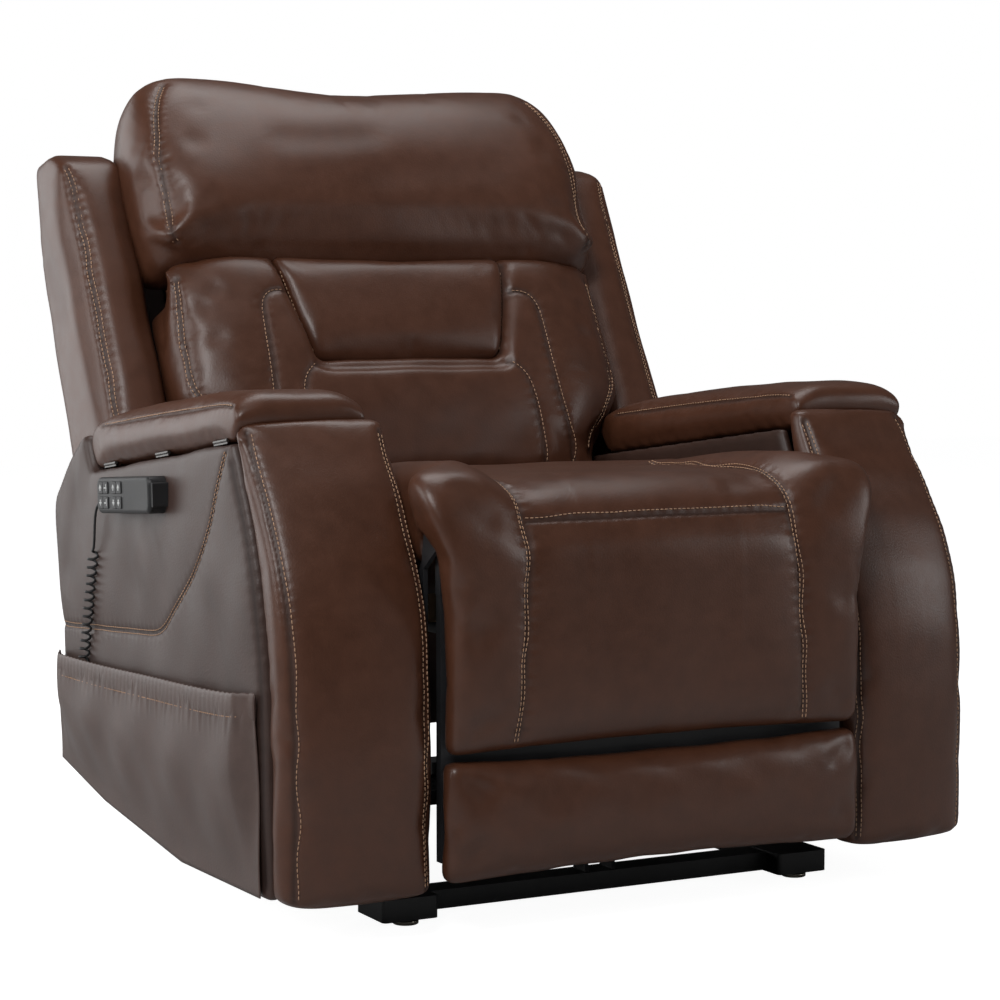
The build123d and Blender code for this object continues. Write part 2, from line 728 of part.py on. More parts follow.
with BuildPart() as headrest_pillow:
    with BuildSketch(Plane.YZ.offset(-back_half + 6)):
        with BuildLine():
            Spline(
                on_back(400, 113), on_back(450, 126), on_back(520, 128), on_back(600, 116), on_back(656, 90),
                on_back(671, 58), on_back(655, 14), on_back(610, -23),
            )
            Line(on_back(610, -23), on_back(400, -23))
            ThreePointArc(on_back(400, -23), on_back(332, 45), on_back(400, 113))
        make_face()
    extrude(amount=2 * (back_half - 6))
save(headrest_pillow, "headrest_pillow")

for side in SIDES:
    with BuildPart() as wing:
        with BuildSketch(Plane.YZ.offset(side * wing_in_x)):
            with BuildLine():
                Polyline(on_back(545, 33), on_back(167, 58), on_back(72, 58), on_back(72, -112), on_back(180, -112))
                Spline(on_back(180, -112), on_back(400, -108), on_back(500, -88), on_back(600, -60))
                Polyline(on_back(600, -60), on_back(585, -10), on_back(545, 33))
            make_face()
        extrude(amount=side * (wing_out_x - wing_in_x))
    save(wing, f"{SIDE_NAMES[side]}_wing")

rear_skin = 6.0
with BuildPart() as back_rear_panel:
    with BuildSketch(Plane.YZ.offset(-wing_out_x)):
        with BuildLine():
            Line(on_back(72, -113), on_back(180, -113))
            Spline(on_back(180, -113), on_back(400, -109), on_back(500, -89), on_back(602, -61))
            Line(on_back(602, -61), on_back(604, -61 - rear_skin))
            Spline(
                on_back(604, -61 - rear_skin), on_back(500, -89 - rear_skin), on_back(400, -109 - rear_skin),
                on_back(180, -113 - rear_skin),
            )
            Polyline(on_back(180, -113 - rear_skin), on_back(72, -113 - rear_skin), on_back(72, -113))
        make_face()
    extrude(amount=2 * wing_out_x)
save(back_rear_panel, "back_rear_panel")

lug_radius = 17.0
pivot_tube_radius = 12.0
with BuildPart() as back_frame:
    for side in SIDES:
        with BuildSketch(Plane.YZ.offset(side * pivot_lug_in_x)):
            with Locations(recline_pivot):
                Circle(lug_radius)
            with BuildLine():
                Polyline(
                    on_back(-10, frame_rear), on_back(frame_top, frame_rear), on_back(frame_top, frame_front),
                    on_back(40, frame_front), on_back(10, lug_radius - 1), on_back(-12, 10), close=True,
                )
            make_face()
            with Locations(recline_pivot):
                Circle(link_hole, mode=Mode.SUBTRACT)
        extrude(amount=side * (pivot_lug_out_x - pivot_lug_in_x))
    for height in (180.0, 370.0, frame_top - 20):
        add(cross_pin(on_back(height, (frame_front + frame_rear) / 2), 10.0, -pivot_lug_in_x, pivot_lug_in_x))
    crank_root = on_back(10.0, -42.0)
    add(cross_pin(crank_root, pivot_tube_radius, -pivot_lug_in_x, pivot_lug_in_x))
    for side in SIDES:
        crank_x = recline_motor_x + side * 9.5
        add(link_bar(crank_root, recline_crank, 11.0, 4.0, crank_x, crank_x + side * 6))
save(back_frame, "back_frame")

# ---- legrest ------------------------------------------------------------------------------
legrest_front_y = -497.0
nose_low_z = 450.0
legrest_back_y = -453.0
board_rear_y = -441.0
legrest_split_z = 217.0
legrest_bottom_z = 77.0
pivot_clear_half = stud_in_x - 3
nose_top = legrest_pivot[1] + legrest_nose

with BuildPart() as legrest_upper_pad:
    with BuildSketch(Plane.YZ.offset(-seat_half)):
        with BuildLine():
            Polyline((legrest_pivot[0], nose_top), (legrest_back_y, nose_top), (legrest_back_y, legrest_split_z + 1.5),
                     (legrest_front_y, legrest_split_z + 1.5), (legrest_front_y, nose_low_z),
                     (legrest_pivot[0] - legrest_nose, legrest_pivot[1]))
            RadiusArc((legrest_pivot[0] - legrest_nose, legrest_pivot[1]), (legrest_pivot[0], nose_top), legrest_nose)
        make_face()
    extrude(amount=2 * seat_half)
    for side in SIDES:
        with Locations((side * (pivot_clear_half + 15), legrest_pivot[0] - 5, legrest_pivot[1] + 6)):
            Box(30, 90, 72, mode=Mode.SUBTRACT)
save(legrest_upper_pad, "legrest_upper_pad")

with BuildPart() as legrest_lower_pad:
    lower_middle_y = (legrest_front_y + legrest_back_y) / 2
    with Locations((0, lower_middle_y, (legrest_bottom_z + legrest_split_z - 1.5) / 2)):
        Box(2 * seat_half, legrest_back_y - legrest_front_y, legrest_split_z - 1.5 - legrest_bottom_z)
    fillet(legrest_lower_pad.edges().filter_by(Axis.X), radius=8.0)
save(legrest_lower_pad, "legrest_lower_pad")

board_low_z = 90.0
board_high_z = 462.0
board_half = 279.0
ear_in = 9.5
ear_out = 15.5
with BuildPart() as legrest_frame:
    with Locations((0, (legrest_back_y + board_rear_y) / 2, (board_low_z + board_high_z) / 2)):
        Box(2 * board_half, board_rear_y - legrest_back_y, board_high_z - board_low_z)
    with Locations((legrest_motor_x, legrest_back_y + 5, legrest_crank[1])):
        Box(2 * ear_in, 40, 76, mode=Mode.SUBTRACT)
    for side in SIDES:
        lug_outline = [
            (legrest_pivot[0] + 15, 420), (legrest_pivot[0] + 15, 480), (legrest_pivot[0], 495),
            (legrest_pivot[0] - 15, 480), (legrest_back_y, 453), (legrest_back_y, 420),
        ]
        add(slab(lug_outline, side * pivot_lug_in_x, side * pivot_lug_out_x))
        add(slab([(legrest_back_y, 400), (board_rear_y, 400), (board_rear_y, 440), (legrest_back_y, 440)],
                 side * (board_half - 5), side * pivot_lug_out_x))
        add(cross_pin(legrest_pivot, link_hole, side * (pivot_lug_in_x - 5), side * (pivot_lug_out_x + 5)),
            mode=Mode.SUBTRACT)
        ear_x = legrest_motor_x + side * ear_in
        ear_outline = [
            (board_rear_y - 2, 446), (board_rear_y, 394), (legrest_crank[0] + 9, 404),
            (legrest_crank[0] + 11, 436),
        ]
        add(slab(ear_outline, ear_x, ear_x + side * (ear_out - ear_in)))
save(legrest_frame, "legrest_frame")
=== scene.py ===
import json
from math import cos, pi, radians, sin

import bmesh
import bpy
import numpy as np
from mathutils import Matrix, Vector
from mathutils.bvhtree import BVHTree
from mathutils.kdtree import KDTree


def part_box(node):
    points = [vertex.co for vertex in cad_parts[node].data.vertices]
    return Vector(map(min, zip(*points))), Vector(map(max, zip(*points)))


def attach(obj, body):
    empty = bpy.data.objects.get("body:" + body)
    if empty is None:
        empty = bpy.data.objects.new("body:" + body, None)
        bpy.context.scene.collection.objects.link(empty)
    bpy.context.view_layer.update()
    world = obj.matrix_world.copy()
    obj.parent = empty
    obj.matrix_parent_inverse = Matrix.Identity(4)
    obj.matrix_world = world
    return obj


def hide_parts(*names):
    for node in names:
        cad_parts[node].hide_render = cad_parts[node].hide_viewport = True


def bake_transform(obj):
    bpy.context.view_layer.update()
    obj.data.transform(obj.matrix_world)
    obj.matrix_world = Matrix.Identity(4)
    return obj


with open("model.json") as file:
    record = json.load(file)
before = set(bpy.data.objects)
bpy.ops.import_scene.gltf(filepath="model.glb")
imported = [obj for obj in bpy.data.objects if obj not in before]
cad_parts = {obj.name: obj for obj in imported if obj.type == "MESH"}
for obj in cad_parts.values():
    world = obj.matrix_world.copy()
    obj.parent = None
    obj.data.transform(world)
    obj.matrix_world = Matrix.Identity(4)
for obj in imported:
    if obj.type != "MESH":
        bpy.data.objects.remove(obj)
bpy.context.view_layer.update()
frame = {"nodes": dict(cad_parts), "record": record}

# %% [markdown]
# # A leather lift recliner, dressed
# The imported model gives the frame, the linkage and the plain blocks of every cushion.
# Here each block is replaced by the upholstery that a maker would sew over it: foam
# forms, leather covers, topstitched seams, gathered pockets and a curly cord.
# Lengths are written in millimetres, because that is how an upholsterer works, and
# are turned into metres when a mesh is made.

# %% Sizes that the frame gives
MM = 0.001
SIDES = (-1, 1)
SIDE_NAME = {-1: "right", 1: "left"}


def box_mm(node):
    """Lowest and highest corner of a frame part, in millimetres."""
    low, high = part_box(node)
    return np.array(low) * 1000, np.array(high) * 1000


arm_low, arm_high = box_mm("left_arm_front")
arm_inner, arm_outer = arm_low[0], arm_high[0]
seat_low, seat_high = box_mm("seat_cushion")
seat_half = seat_high[0]
lid_low, lid_high = box_mm("left_lid_pad")
wing_low, wing_high = box_mm("left_wing")
print("arm from", round(arm_inner), "to", round(arm_outer), "mm; seat half width", round(seat_half))

# %% [markdown]
# ## The back's own directions
# The back leans, so its seams are easiest to place by how far they are along the
# slope and how far in front of its centre line.

# %% Points on the leaning back
LEAN = radians(24.6)
RECLINE_AXIS = (200.0, 410.0)


def on_back(along, front):
    """A (y, z) point of the back, along its slope and in front of its centre line."""
    return (RECLINE_AXIS[0] + along * sin(LEAN) - front * cos(LEAN),
            RECLINE_AXIS[1] + along * cos(LEAN) + front * sin(LEAN))


def how_far_along(places):
    """How far up the back's slope each 3-D point is."""
    return (places[:, 1] - RECLINE_AXIS[0]) * sin(LEAN) + (places[:, 2] - RECLINE_AXIS[1]) * cos(LEAN)


def how_far_in_front(places):
    """How far in front of the back's centre line each 3-D point is."""
    return -(places[:, 1] - RECLINE_AXIS[0]) * cos(LEAN) + (places[:, 2] - RECLINE_AXIS[1]) * sin(LEAN)


def leaning(side, marks):
    """3-D marks on one side of the back, from (x, along, front) marks."""
    return [(side * x, *on_back(along, front)) for x, along, front in marks]


# %% [markdown]
# ## Curves by numbers
# A pattern maker draws smooth curves through a few marks. `through` does the same,
# and `even` puts points on a line at an even spacing, which keeps meshes and
# stitches regular.

# %% Smooth lines
def even(points, count):
    """The same line with evenly spaced points."""
    points = np.array(points, float)
    steps = np.r_[0, np.cumsum(np.linalg.norm(np.diff(points, axis=0), axis=1))]
    wanted = np.linspace(0, steps[-1], count)
    return np.stack([np.interp(wanted, steps, points[:, k]) for k in range(points.shape[1])], 1)


def through(points, count=40):
    """A smooth line through a few marks."""
    marks = np.array(points, float)
    if len(marks) < 3:
        return even(marks, count)
    ends = np.vstack([2 * marks[0] - marks[1], marks, 2 * marks[-1] - marks[-2]])
    line = []
    for a, b, c, d in zip(ends, ends[1:], ends[2:], ends[3:]):
        for t in np.linspace(0, 1, 12, endpoint=False):
            line.append(0.5 * (2 * b + (c - a) * t + (2 * a - 5 * b + 4 * c - d) * t * t
                               + (3 * b - a - 3 * c + d) * t ** 3))
    return even(np.vstack([line, marks[-1]]), count)


def closed(*runs, count=150, soft=0.0):
    """One closed outline from several lines, with its corners softened by a radius."""
    loop = np.vstack([np.array(run, float) for run in runs] + [np.array(runs[0][:1], float)])
    loop = even(loop, count + 1)[:-1]
    area = np.sum(loop[:, 0] * np.roll(loop[:, 1], -1) - loop[:, 1] * np.roll(loop[:, 0], -1))
    if area < 0:
        loop = loop[::-1]
    if soft:
        length = np.linalg.norm(loop - np.roll(loop, 1, 0), axis=1).mean()
        reach = max(1, int(3 * soft / length))
        weight = np.exp(-0.5 * (np.arange(-reach, reach + 1) * length / soft) ** 2)
        weight /= weight.sum()
        loop = sum(w * np.roll(loop, k, 0) for w, k in zip(weight, range(-reach, reach + 1)))
    return loop


def inset(loop, amount):
    """A closed outline moved inwards."""
    ahead = np.roll(loop, -2, 0) - np.roll(loop, 2, 0)
    ahead /= np.linalg.norm(ahead, axis=1)[:, None] + 1e-9
    return loop + amount * np.stack([-ahead[:, 1], ahead[:, 0]], 1)


def smooth_step(low, high, value):
    t = np.clip((value - low) / (high - low), 0, 1)
    return t * t * (3 - 2 * t)


# %% [markdown]
# ## Foam forms
# Every cushion starts as a foam block cut to an outline, wider or narrower from side
# to side, with rounded edges. Rings of points are lofted across the chair. Then a
# voxel remesh turns the block into small even squares, which later hold the seams
# and wrinkles, and a light smoothing takes the voxel steps away.

# %% Lofting and remeshing
def mesh_from(name, points, faces):
    mesh = bpy.data.meshes.new(name)
    mesh.from_pydata((np.array(points) * MM).tolist(), [], faces)
    mesh.validate()
    piece = bpy.data.objects.new(name, mesh)
    bpy.context.scene.collection.objects.link(piece)
    return piece


def outwards(piece):
    work = bmesh.new()
    work.from_mesh(piece.data)
    bmesh.ops.remove_doubles(work, verts=work.verts, dist=1e-6)
    bmesh.ops.recalc_face_normals(work, faces=work.faces)
    work.to_mesh(piece.data)
    work.free()
    return piece


def loft(name, rings):
    """A closed solid through rings of 3-D points, with flat ends."""
    rings = [np.array(ring, float) for ring in rings]
    size = len(rings[0])
    faces = [tuple(range(size))[::-1], tuple(range((len(rings) - 1) * size, len(rings) * size))]
    for k in range(len(rings) - 1):
        for i in range(size):
            j = (i + 1) % size
            faces.append((k * size + i, k * size + j, (k + 1) * size + j, (k + 1) * size + i))
    return outwards(mesh_from(name, np.vstack(rings), faces))


def settle(piece, modifiers):
    """Apply a few modifiers and leave one plain mesh."""
    for kind, values in modifiers:
        modifier = piece.modifiers.new(kind.title(), kind)
        for key, value in values.items():
            setattr(modifier, key, value)
    bpy.context.view_layer.update()
    graph = bpy.context.evaluated_depsgraph_get()
    finished = bpy.data.meshes.new_from_object(piece.evaluated_get(graph))
    piece.modifiers.clear()
    old = piece.data
    piece.data = finished
    bpy.data.meshes.remove(old)
    finished.name = piece.name
    return piece


def remesh(piece, voxel=4.5, smooth=6):
    settle(piece, [("REMESH", dict(mode="VOXEL", voxel_size=voxel * MM)),
                   ("SMOOTH", dict(factor=0.5, iterations=smooth))])
    return piece


def foam(name, outline_at, x_from, x_to, edge=16.0, stations=14, voxel=4.5, smooth=6, edge_to=None):
    """A block whose outline may change across its width, with rounded long edges."""
    edge_to = edge if edge_to is None else edge_to
    turn = np.linspace(0, pi / 2, 6)
    start = [(x_from + edge * (1 - cos(a)), edge * (1 - sin(a))) for a in turn]
    end = [(x_to - edge_to * (1 - cos(a)), edge_to * (1 - sin(a))) for a in turn[::-1]]
    middle = [(x, 0.0) for x in np.linspace(start[-1][0], end[0][0], stations)[1:-1]]
    rings = []
    for x, pull in start + middle + end:
        loop = inset(outline_at(x), pull)
        rings.append(np.column_stack([np.full(len(loop), x), loop]))
    return remesh(loft(name, rings), voxel, smooth)


# %% [markdown]
# ## Filling a cover
# A stuffed cover swells between its seams. The cloth solver does this: the form is
# blown up a little from inside, and no point may move further than real foam would.

# %% Blowing up a cover
def swell(piece, pressure=4.0, cap=22.0, frames=16, keep=None, smooth=6):
    """Inflate a closed form with the cloth solver, and limit how far any point moves."""
    scene = bpy.context.scene
    before = np.empty(len(piece.data.vertices) * 3)
    piece.data.vertices.foreach_get("co", before)
    cloth = piece.modifiers.new("Cloth", "CLOTH")
    cloth.settings.use_pressure = True
    cloth.settings.uniform_pressure_force = pressure
    cloth.settings.quality = 4
    cloth.settings.mass = 0.4
    cloth.settings.tension_stiffness = 18
    cloth.settings.compression_stiffness = 18
    cloth.settings.bending_stiffness = 2.0
    cloth.settings.effector_weights.gravity = 0
    cloth.collision_settings.use_collision = False
    cloth.collision_settings.use_self_collision = False
    cloth.point_cache.frame_start, cloth.point_cache.frame_end = 1, frames
    for frame_number in range(1, frames + 1):
        scene.frame_set(frame_number)
    graph = bpy.context.evaluated_depsgraph_get()
    blown = bpy.data.meshes.new_from_object(piece.evaluated_get(graph))
    after = np.empty(len(blown.vertices) * 3)
    blown.vertices.foreach_get("co", after)
    piece.modifiers.clear()
    bpy.data.meshes.remove(blown)
    scene.frame_set(1)
    move = (after - before).reshape(-1, 3)
    length = np.linalg.norm(move, axis=1)[:, None] + 1e-9
    limit = cap * MM
    move *= limit * np.tanh(length / limit) / length
    if keep is not None:
        move *= keep(before.reshape(-1, 3) * 1000)[:, None]
    piece.data.vertices.foreach_set("co", (before.reshape(-1, 3) + move).ravel())
    piece.data.update()
    settle(piece, [("SMOOTH", dict(factor=0.5, iterations=smooth))])
    furthest = float(np.linalg.norm(move, axis=1).max() * 1000)
    print(piece.name, "swelled by up to", round(furthest, 1), "mm")
    return piece


# %% [markdown]
# ## Seams
# A seam pulls the leather down into the foam. Each seam is a line laid near a piece,
# pressed onto its surface, and sewn: a narrow groove, a wide soft valley on both
# sides, and small puckers between stitches. The same line later carries the thread.

# %% Sewing
threads = {}


def points_of(piece):
    flat = np.empty(len(piece.data.vertices) * 3)
    piece.data.vertices.foreach_get("co", flat)
    return flat.reshape(-1, 3) * 1000


def normals_of(piece):
    flat = np.empty(len(piece.data.vertices) * 3)
    piece.data.vertices.foreach_get("normal", flat)
    return flat.reshape(-1, 3)


def move_points(piece, points):
    piece.data.vertices.foreach_set("co", (points * MM).ravel())
    piece.data.update()


def surface(piece):
    return BVHTree.FromPolygons([v.co[:] for v in piece.data.vertices],
                                [p.vertices[:] for p in piece.data.polygons])


def press(piece, line, spacing=3.0, tree=None):
    """Lay a line on a piece's surface; gives its points and the normals there."""
    line = np.array(line, float)
    length = np.linalg.norm(np.diff(line, axis=0), axis=1).sum()
    line = even(line, max(3, int(length / spacing)))
    tree = tree or surface(piece)
    found = [tree.find_nearest(Vector(point * MM)) for point in line]
    places = np.array([hit[0][:] for hit in found]) * 1000
    normals = np.array([hit[1][:] for hit in found])
    return places, normals


def near_line(points, line):
    """Distance from each point to a line, and how far along the line its nearest point is."""
    tree = KDTree(len(line))
    for index, place in enumerate(line):
        tree.insert(place, index)
    tree.balance()
    steps = np.r_[0, np.cumsum(np.linalg.norm(np.diff(line, axis=0), axis=1))]
    found = [tree.find(point) for point in points]
    return np.array([hit[2] for hit in found]), steps[[hit[1] for hit in found]]


# The crease mask holds painted shade: how far the leather is darkened along seams and folds, where
# shade falls.
def crease_shade_mask(piece):
    if "crease" not in piece.data.attributes:
        piece.data.attributes.new("crease", "FLOAT", "POINT")
    return piece.data.attributes["crease"]


def sew(piece, line, depth=2.6, width=3.4, valley=3.0, reach=22.0, pucker=0.5, pitch=15.0, taper=0.0,
        shade=1.0):
    """Pull a seam down into a piece, and paint shade into its groove."""
    places, _ = press(piece, line)
    points, normals = points_of(piece), normals_of(piece)
    near = np.all((points > places.min(0) - 3 * reach) & (points < places.max(0) + 3 * reach), axis=1)
    chosen = np.where(near)[0]
    if not len(chosen):
        return piece
    distance, along = near_line(points[chosen], places)
    strength = np.ones(len(chosen))
    if taper:
        total = along.max()
        strength = smooth_step(0, taper, along) * smooth_step(0, taper, total - along)
    down = depth * np.exp(-(distance / width) ** 2) + valley * np.exp(-distance / reach)
    ripple = np.sin(2 * pi * along / pitch + 1.7 * np.sin(along / 47.0))
    ripple *= pucker * np.exp(-((distance - 1.9 * width) / (1.6 * width)) ** 2)
    points[chosen] -= normals[chosen] * ((down + ripple) * strength)[:, None]
    move_points(piece, points)
    # Painted shade along the groove and its valley.
    mask = crease_shade_mask(piece)
    values = np.empty(len(points), np.float32)
    mask.data.foreach_get("value", values)
    darkened = shade * np.exp(-(distance / (1.3 * width)) ** 2) * strength
    values[chosen] = np.maximum(values[chosen], darkened.astype(np.float32))
    mask.data.foreach_set("value", values)
    return piece


def fold(piece, line, depth=5.0, width=14.0, taper=40.0):
    """A soft fold or dent with no thread, fading out at both ends, with a faint painted shade in it."""
    return sew(piece, line, depth=depth, width=width, valley=0, reach=width * 1.4, pucker=0,
               taper=taper, shade=0.12)


def steady(rows, reach=4):
    """Running average along a line, so that thread runs straight over small puckers."""
    padded = np.vstack([np.repeat(rows[:1], reach, 0), rows, np.repeat(rows[-1:], reach, 0)])
    return np.mean([padded[k:k + len(rows)] for k in range(2 * reach + 1)], axis=0)


def stitch(key, piece, line, sides=(0.0,), lift=0.55):
    """Remember rows of thread beside a seam, for one body."""
    tree = surface(piece)
    places, normals = press(piece, line, 4.0, tree)
    places, normals = steady(places), steady(normals, 8)
    ahead = steady(np.gradient(places, axis=0), 8)
    across = np.cross(normals, ahead)
    across /= np.linalg.norm(across, axis=1)[:, None] + 1e-9
    for side in sides:
        row, lean = press(piece, places + across * side, 4.0, tree)
        threads.setdefault(key, []).append(steady(row, 2) + steady(lean, 3) * lift)


# %% [markdown]
# ## Leather never lies quite flat
# Foam settles and leather stretches, so wide gentle waves run over every cover. A sum
# of a few slanted sine waves is quick and gives the same surface every time.

# %% Waves
def wave(piece, height=1.2, size=90.0, seed=1, stretch=(1.0, 1.0, 1.0)):
    dice = np.random.default_rng(seed)
    points, normals = points_of(piece), normals_of(piece)
    total = np.zeros(len(points))
    for _ in range(9):
        heading = dice.normal(size=3)
        heading *= np.array(stretch) / np.linalg.norm(heading)
        turns = 2 * pi / (size * dice.uniform(0.55, 1.7))
        total += np.sin(points @ heading * turns + dice.uniform(0, 2 * pi)) * dice.uniform(0.4, 1.0)
    move_points(piece, points + normals * (height * total / 3)[:, None])
    return piece


def crown(piece, loop, axis, height, reach, side):
    """Swell a flat face away from its outline. The face looks along one axis."""
    points, normals = points_of(piece), normals_of(piece)
    plane = [k for k in range(3) if k != axis]
    facing = np.clip(normals[:, axis] * side, 0, 1) ** 2
    chosen = np.where(facing > 0.05)[0]
    outline = np.zeros((len(loop), 3))
    outline[:, plane] = loop
    flat = points[chosen].copy()
    flat[:, axis] = 0
    distance, _ = near_line(flat, outline)
    points[chosen, axis] += side * height * (1 - np.exp(-distance / reach)) * facing[chosen]
    move_points(piece, points)
    return piece

# %% [markdown]
# ## The cord comes first
# The handset's cord leaves a strain relief, hangs, and turns into a curly stretch that
# drops behind the pocket and into a grommet. A curly cord is wound round a mandrel and
# keeps its turns, so the helix is worked out from its pitch and radius, and the
# straight ends follow the same marks as the frame's own route.

# %% Cord route
CORD_RADIUS = 1.7
lead_marks = [(-491.0, 93.44, 483.15), (-491.0, 113.0, 477.0), (-491.0, 124.0, 459.0),
              (-490.0, 129.0, 437.0), (-488.0, 138.0, 416.0)]
tail_marks = [(-488.0, 187.0, 250.0), (-488.0, 190.5, 238.0), (-484.5, 193.5, 228.5),
              (-481.0, 195.0, 220.0)]
coil_top, coil_foot = np.array(lead_marks[-1]), np.array(tail_marks[0])
coil_axis = (coil_foot - coil_top) / np.linalg.norm(coil_foot - coil_top)
coil_side = np.cross(coil_axis, (1, 0, 0))
coil_side /= np.linalg.norm(coil_side)
coil_front = np.cross(coil_axis, coil_side)
COIL_TURNS, COIL_RADIUS, TURN_POINTS = 15, 5.9, 12
helix = []
for step in range(6, COIL_TURNS * TURN_POINTS - 6):
    share = step / (COIL_TURNS * TURN_POINTS)
    turn = 2 * pi * step / TURN_POINTS
    sag = 1 + 0.05 * sin(5.3 * share * pi)
    centre = coil_top + (coil_foot - coil_top) * share
    helix.append(centre + COIL_RADIUS * sag * (cos(turn) * coil_side + sin(turn) * coil_front))

cord_curve = bpy.data.curves.new("handset_cord", "CURVE")
cord_curve.dimensions = "3D"
cord_line = cord_curve.splines.new("NURBS")
cord_points = lead_marks + [tuple(p) for p in helix] + tail_marks
cord_line.points.add(len(cord_points) - 1)
for place, point in zip(cord_line.points, cord_points):
    place.co = (point[0] * MM, point[1] * MM, point[2] * MM, 1)
cord_line.order_u = 3
cord_line.use_endpoint_u = True
cord_curve.resolution_u = 4
handset_cord = bpy.data.objects.new("handset_cord", cord_curve)
bpy.context.scene.collection.objects.link(handset_cord)
bpy.context.view_layer.update()
plain_line = bpy.data.meshes.new_from_object(handset_cord)
bpy.data.meshes.remove(plain_line)
cord_curve.bevel_depth = CORD_RADIUS * MM
cord_curve.bevel_resolution = 3
cord_curve.use_fill_caps = True

# %% [markdown]
# ## Arms
# Each arm has a curved front pad, wrapped over foam and topstitched along both edges,
# a thin padded panel outside and another beside the seat, and a lid on hinges.

# %% Arm outlines
front_marks = [(-325, 601), (-352, 556), (-388, 500), (-440, 390), (-458, 250), (-456, 54)]
gusset_marks = [(-303, 599), (-324, 532), (-353, 476), (-381, 399), (-400, 280), (-408, 54)]
panel_marks = [(-301, 573.8), (-322, 532), (-351, 476), (-379, 399), (-398, 280), (-406, 54)]
front_line = through(front_marks, 70)
gusset_line = through(gusset_marks, 60)
panel_line = through(panel_marks, 60)
rear_roll = through([(308, 318), (334, 450), (300, 500), (208, 564)], 30)


def arm_front_outline(x):
    """The front pad leans: its inner edge is further forward than its outer one."""
    share = (abs(x) - arm_inner) / (arm_outer - arm_inner)
    front = front_line.copy()
    high = smooth_step(430, 604, front[:, 1])
    front[:, 0] += -8 * (1 - share) + 15 * share * high
    front[:, 0] -= 5 * sin(pi * np.clip(share, 0, 1)) * (1 - 0.5 * high)
    return closed(front, gusset_line[::-1], count=190, soft=4)


panel_loop = closed(panel_line, [(-406, 54), (-155, 53), (122, 84), (298, 118), (308, 318)],
                    rear_roll, [(208, 564), (199, 560), (176, 516), (-301, 573.8)], count=240, soft=3)
inner_loop = closed(panel_line, [(-406, 54), (190, 84), (190, 515)], count=200, soft=3)


def sides(side, low, high):
    """A distance range from the middle as an x range, in rising order."""
    return (low, high) if side > 0 else (-high, -low)


ARCH_MARKS = [(300, 300), (150, 311), (20, 320), (-77, 330), (-129, 362), (-175, 396), (-213, 430),
              (-244, 470), (-262, 505), (-280, 538), (-292, 566)]
PANEL_FOLDS = (((-20, 505), (-120, 350), 2.2, 20), ((60, 500), (-20, 340), 1.6, 24),
               ((230, 520), (280, 330), 3.0, 26), ((-230, 420), (-330, 250), 2.0, 24))
arm_covers = {}
for side in SIDES:
    name = SIDE_NAME[side]
    x_from, x_to = sides(side, arm_inner, arm_outer)
    edges = (13.0, 20.0) if side > 0 else (20.0, 13.0)
    pad = foam(f"{name}_arm_front_cover", arm_front_outline, x_from, x_to, edges[0], 16, 4.2, 8,
               edges[1])
    outer_seam = [(side * (arm_outer - 13 - 3 * smooth_step(300, 600, z)),
                   y + 14 * smooth_step(430, 604, z), z)
                  for y, z in front_line[2:-1]]
    inner_seam = [(side * (arm_inner + 9), y - 9, z) for y, z in front_line[2:-1]]
    swell(pad, 3.5, 5.0, smooth=14)
    sew(pad, outer_seam, 2.4, 3.2, 3.0, 20, 0.3, 13)
    sew(pad, inner_seam, 2.0, 3.0, 2.4, 18, 0.25, 14)
    wave(pad, 0.8, 110, 10 + side)
    stitch("chair", pad, outer_seam, (-4.5 * side,))
    stitch("chair", pad, inner_seam, (-4.0 * side, 3.0 * side))

    x_from, x_to = sides(side, arm_outer - 23, arm_outer)
    edges = (3.0, 9.0) if side > 0 else (9.0, 3.0)
    panel = foam(f"{name}_arm_outer_cover", lambda x: panel_loop, x_from, x_to, edges[0], 6, 4.5, 5,
                 edges[1])
    crown(panel, panel_loop, 0, 4.0, 30, side)
    arch_seam = [(side * arm_outer, y, z) for y, z in through(ARCH_MARKS, 90)]
    front_edge = [(side * arm_outer, y + 6, z) for y, z in panel_line[3:-2]]
    sew(panel, arch_seam, 2.0, 3.4, 2.6, 26, 0.5, 16)
    sew(panel, front_edge, 1.0, 4.0, 2.5, 20, 0.3, 17)
    for top, low, drop, width in PANEL_FOLDS:
        fold(panel, [(side * arm_outer, *top), (side * arm_outer, *low)], drop, width, 60)
    wave(panel, 1.4, 150, 20 + side)
    stitch("chair", panel, arch_seam, (-3.4, 3.4))

    x_from, x_to = sides(side, arm_inner, arm_inner + 14)
    inner = foam(f"{name}_arm_inner_cover", lambda x: inner_loop, x_from, x_to, 4.0, 4, 4.6, 4)
    crown(inner, inner_loop, 0, 1.0, 30, -side)
    arm_covers[side] = (pad, panel, inner)
    print(name, "arm covers made")

# %% [markdown]
# ## Armrest lids
# A lid is a board with a soft boxed pad on it: straight sides, a crowned top panel, and
# a stitched seam along both long edges where the two meet.

# %% Lid pads
lid_top = through([(190, 556), (189, 574), (170, 588), (60, 602), (-90, 617), (-200, 626), (-280, 631),
                   (-308, 626),
                   (-319, 610)], 70)
lid_low_line = [(-316, 593), (-304, 574.5), (166, 518.5), (188, 541)]


LID_EDGE_DROP = 15.0


def lid_drop(line, drop):
    """Lower the top of the lid's side view, but leave its bottom edge where it is."""
    thickness = line[:, 1] - np.interp(line[:, 0], [-316, 188], [590, 525])
    line = line.copy()
    line[:, 1] -= drop * smooth_step(6, 30, thickness)
    return line


def lid_outline(x):
    share = min(abs(x) - lid_low[0], lid_high[0] - abs(x)) / 46.0
    drop = LID_EDGE_DROP * (1 - min(1.0, max(0.0, share))) ** 2
    return closed(lid_drop(lid_top, drop), lid_low_line, count=170, soft=3.0)


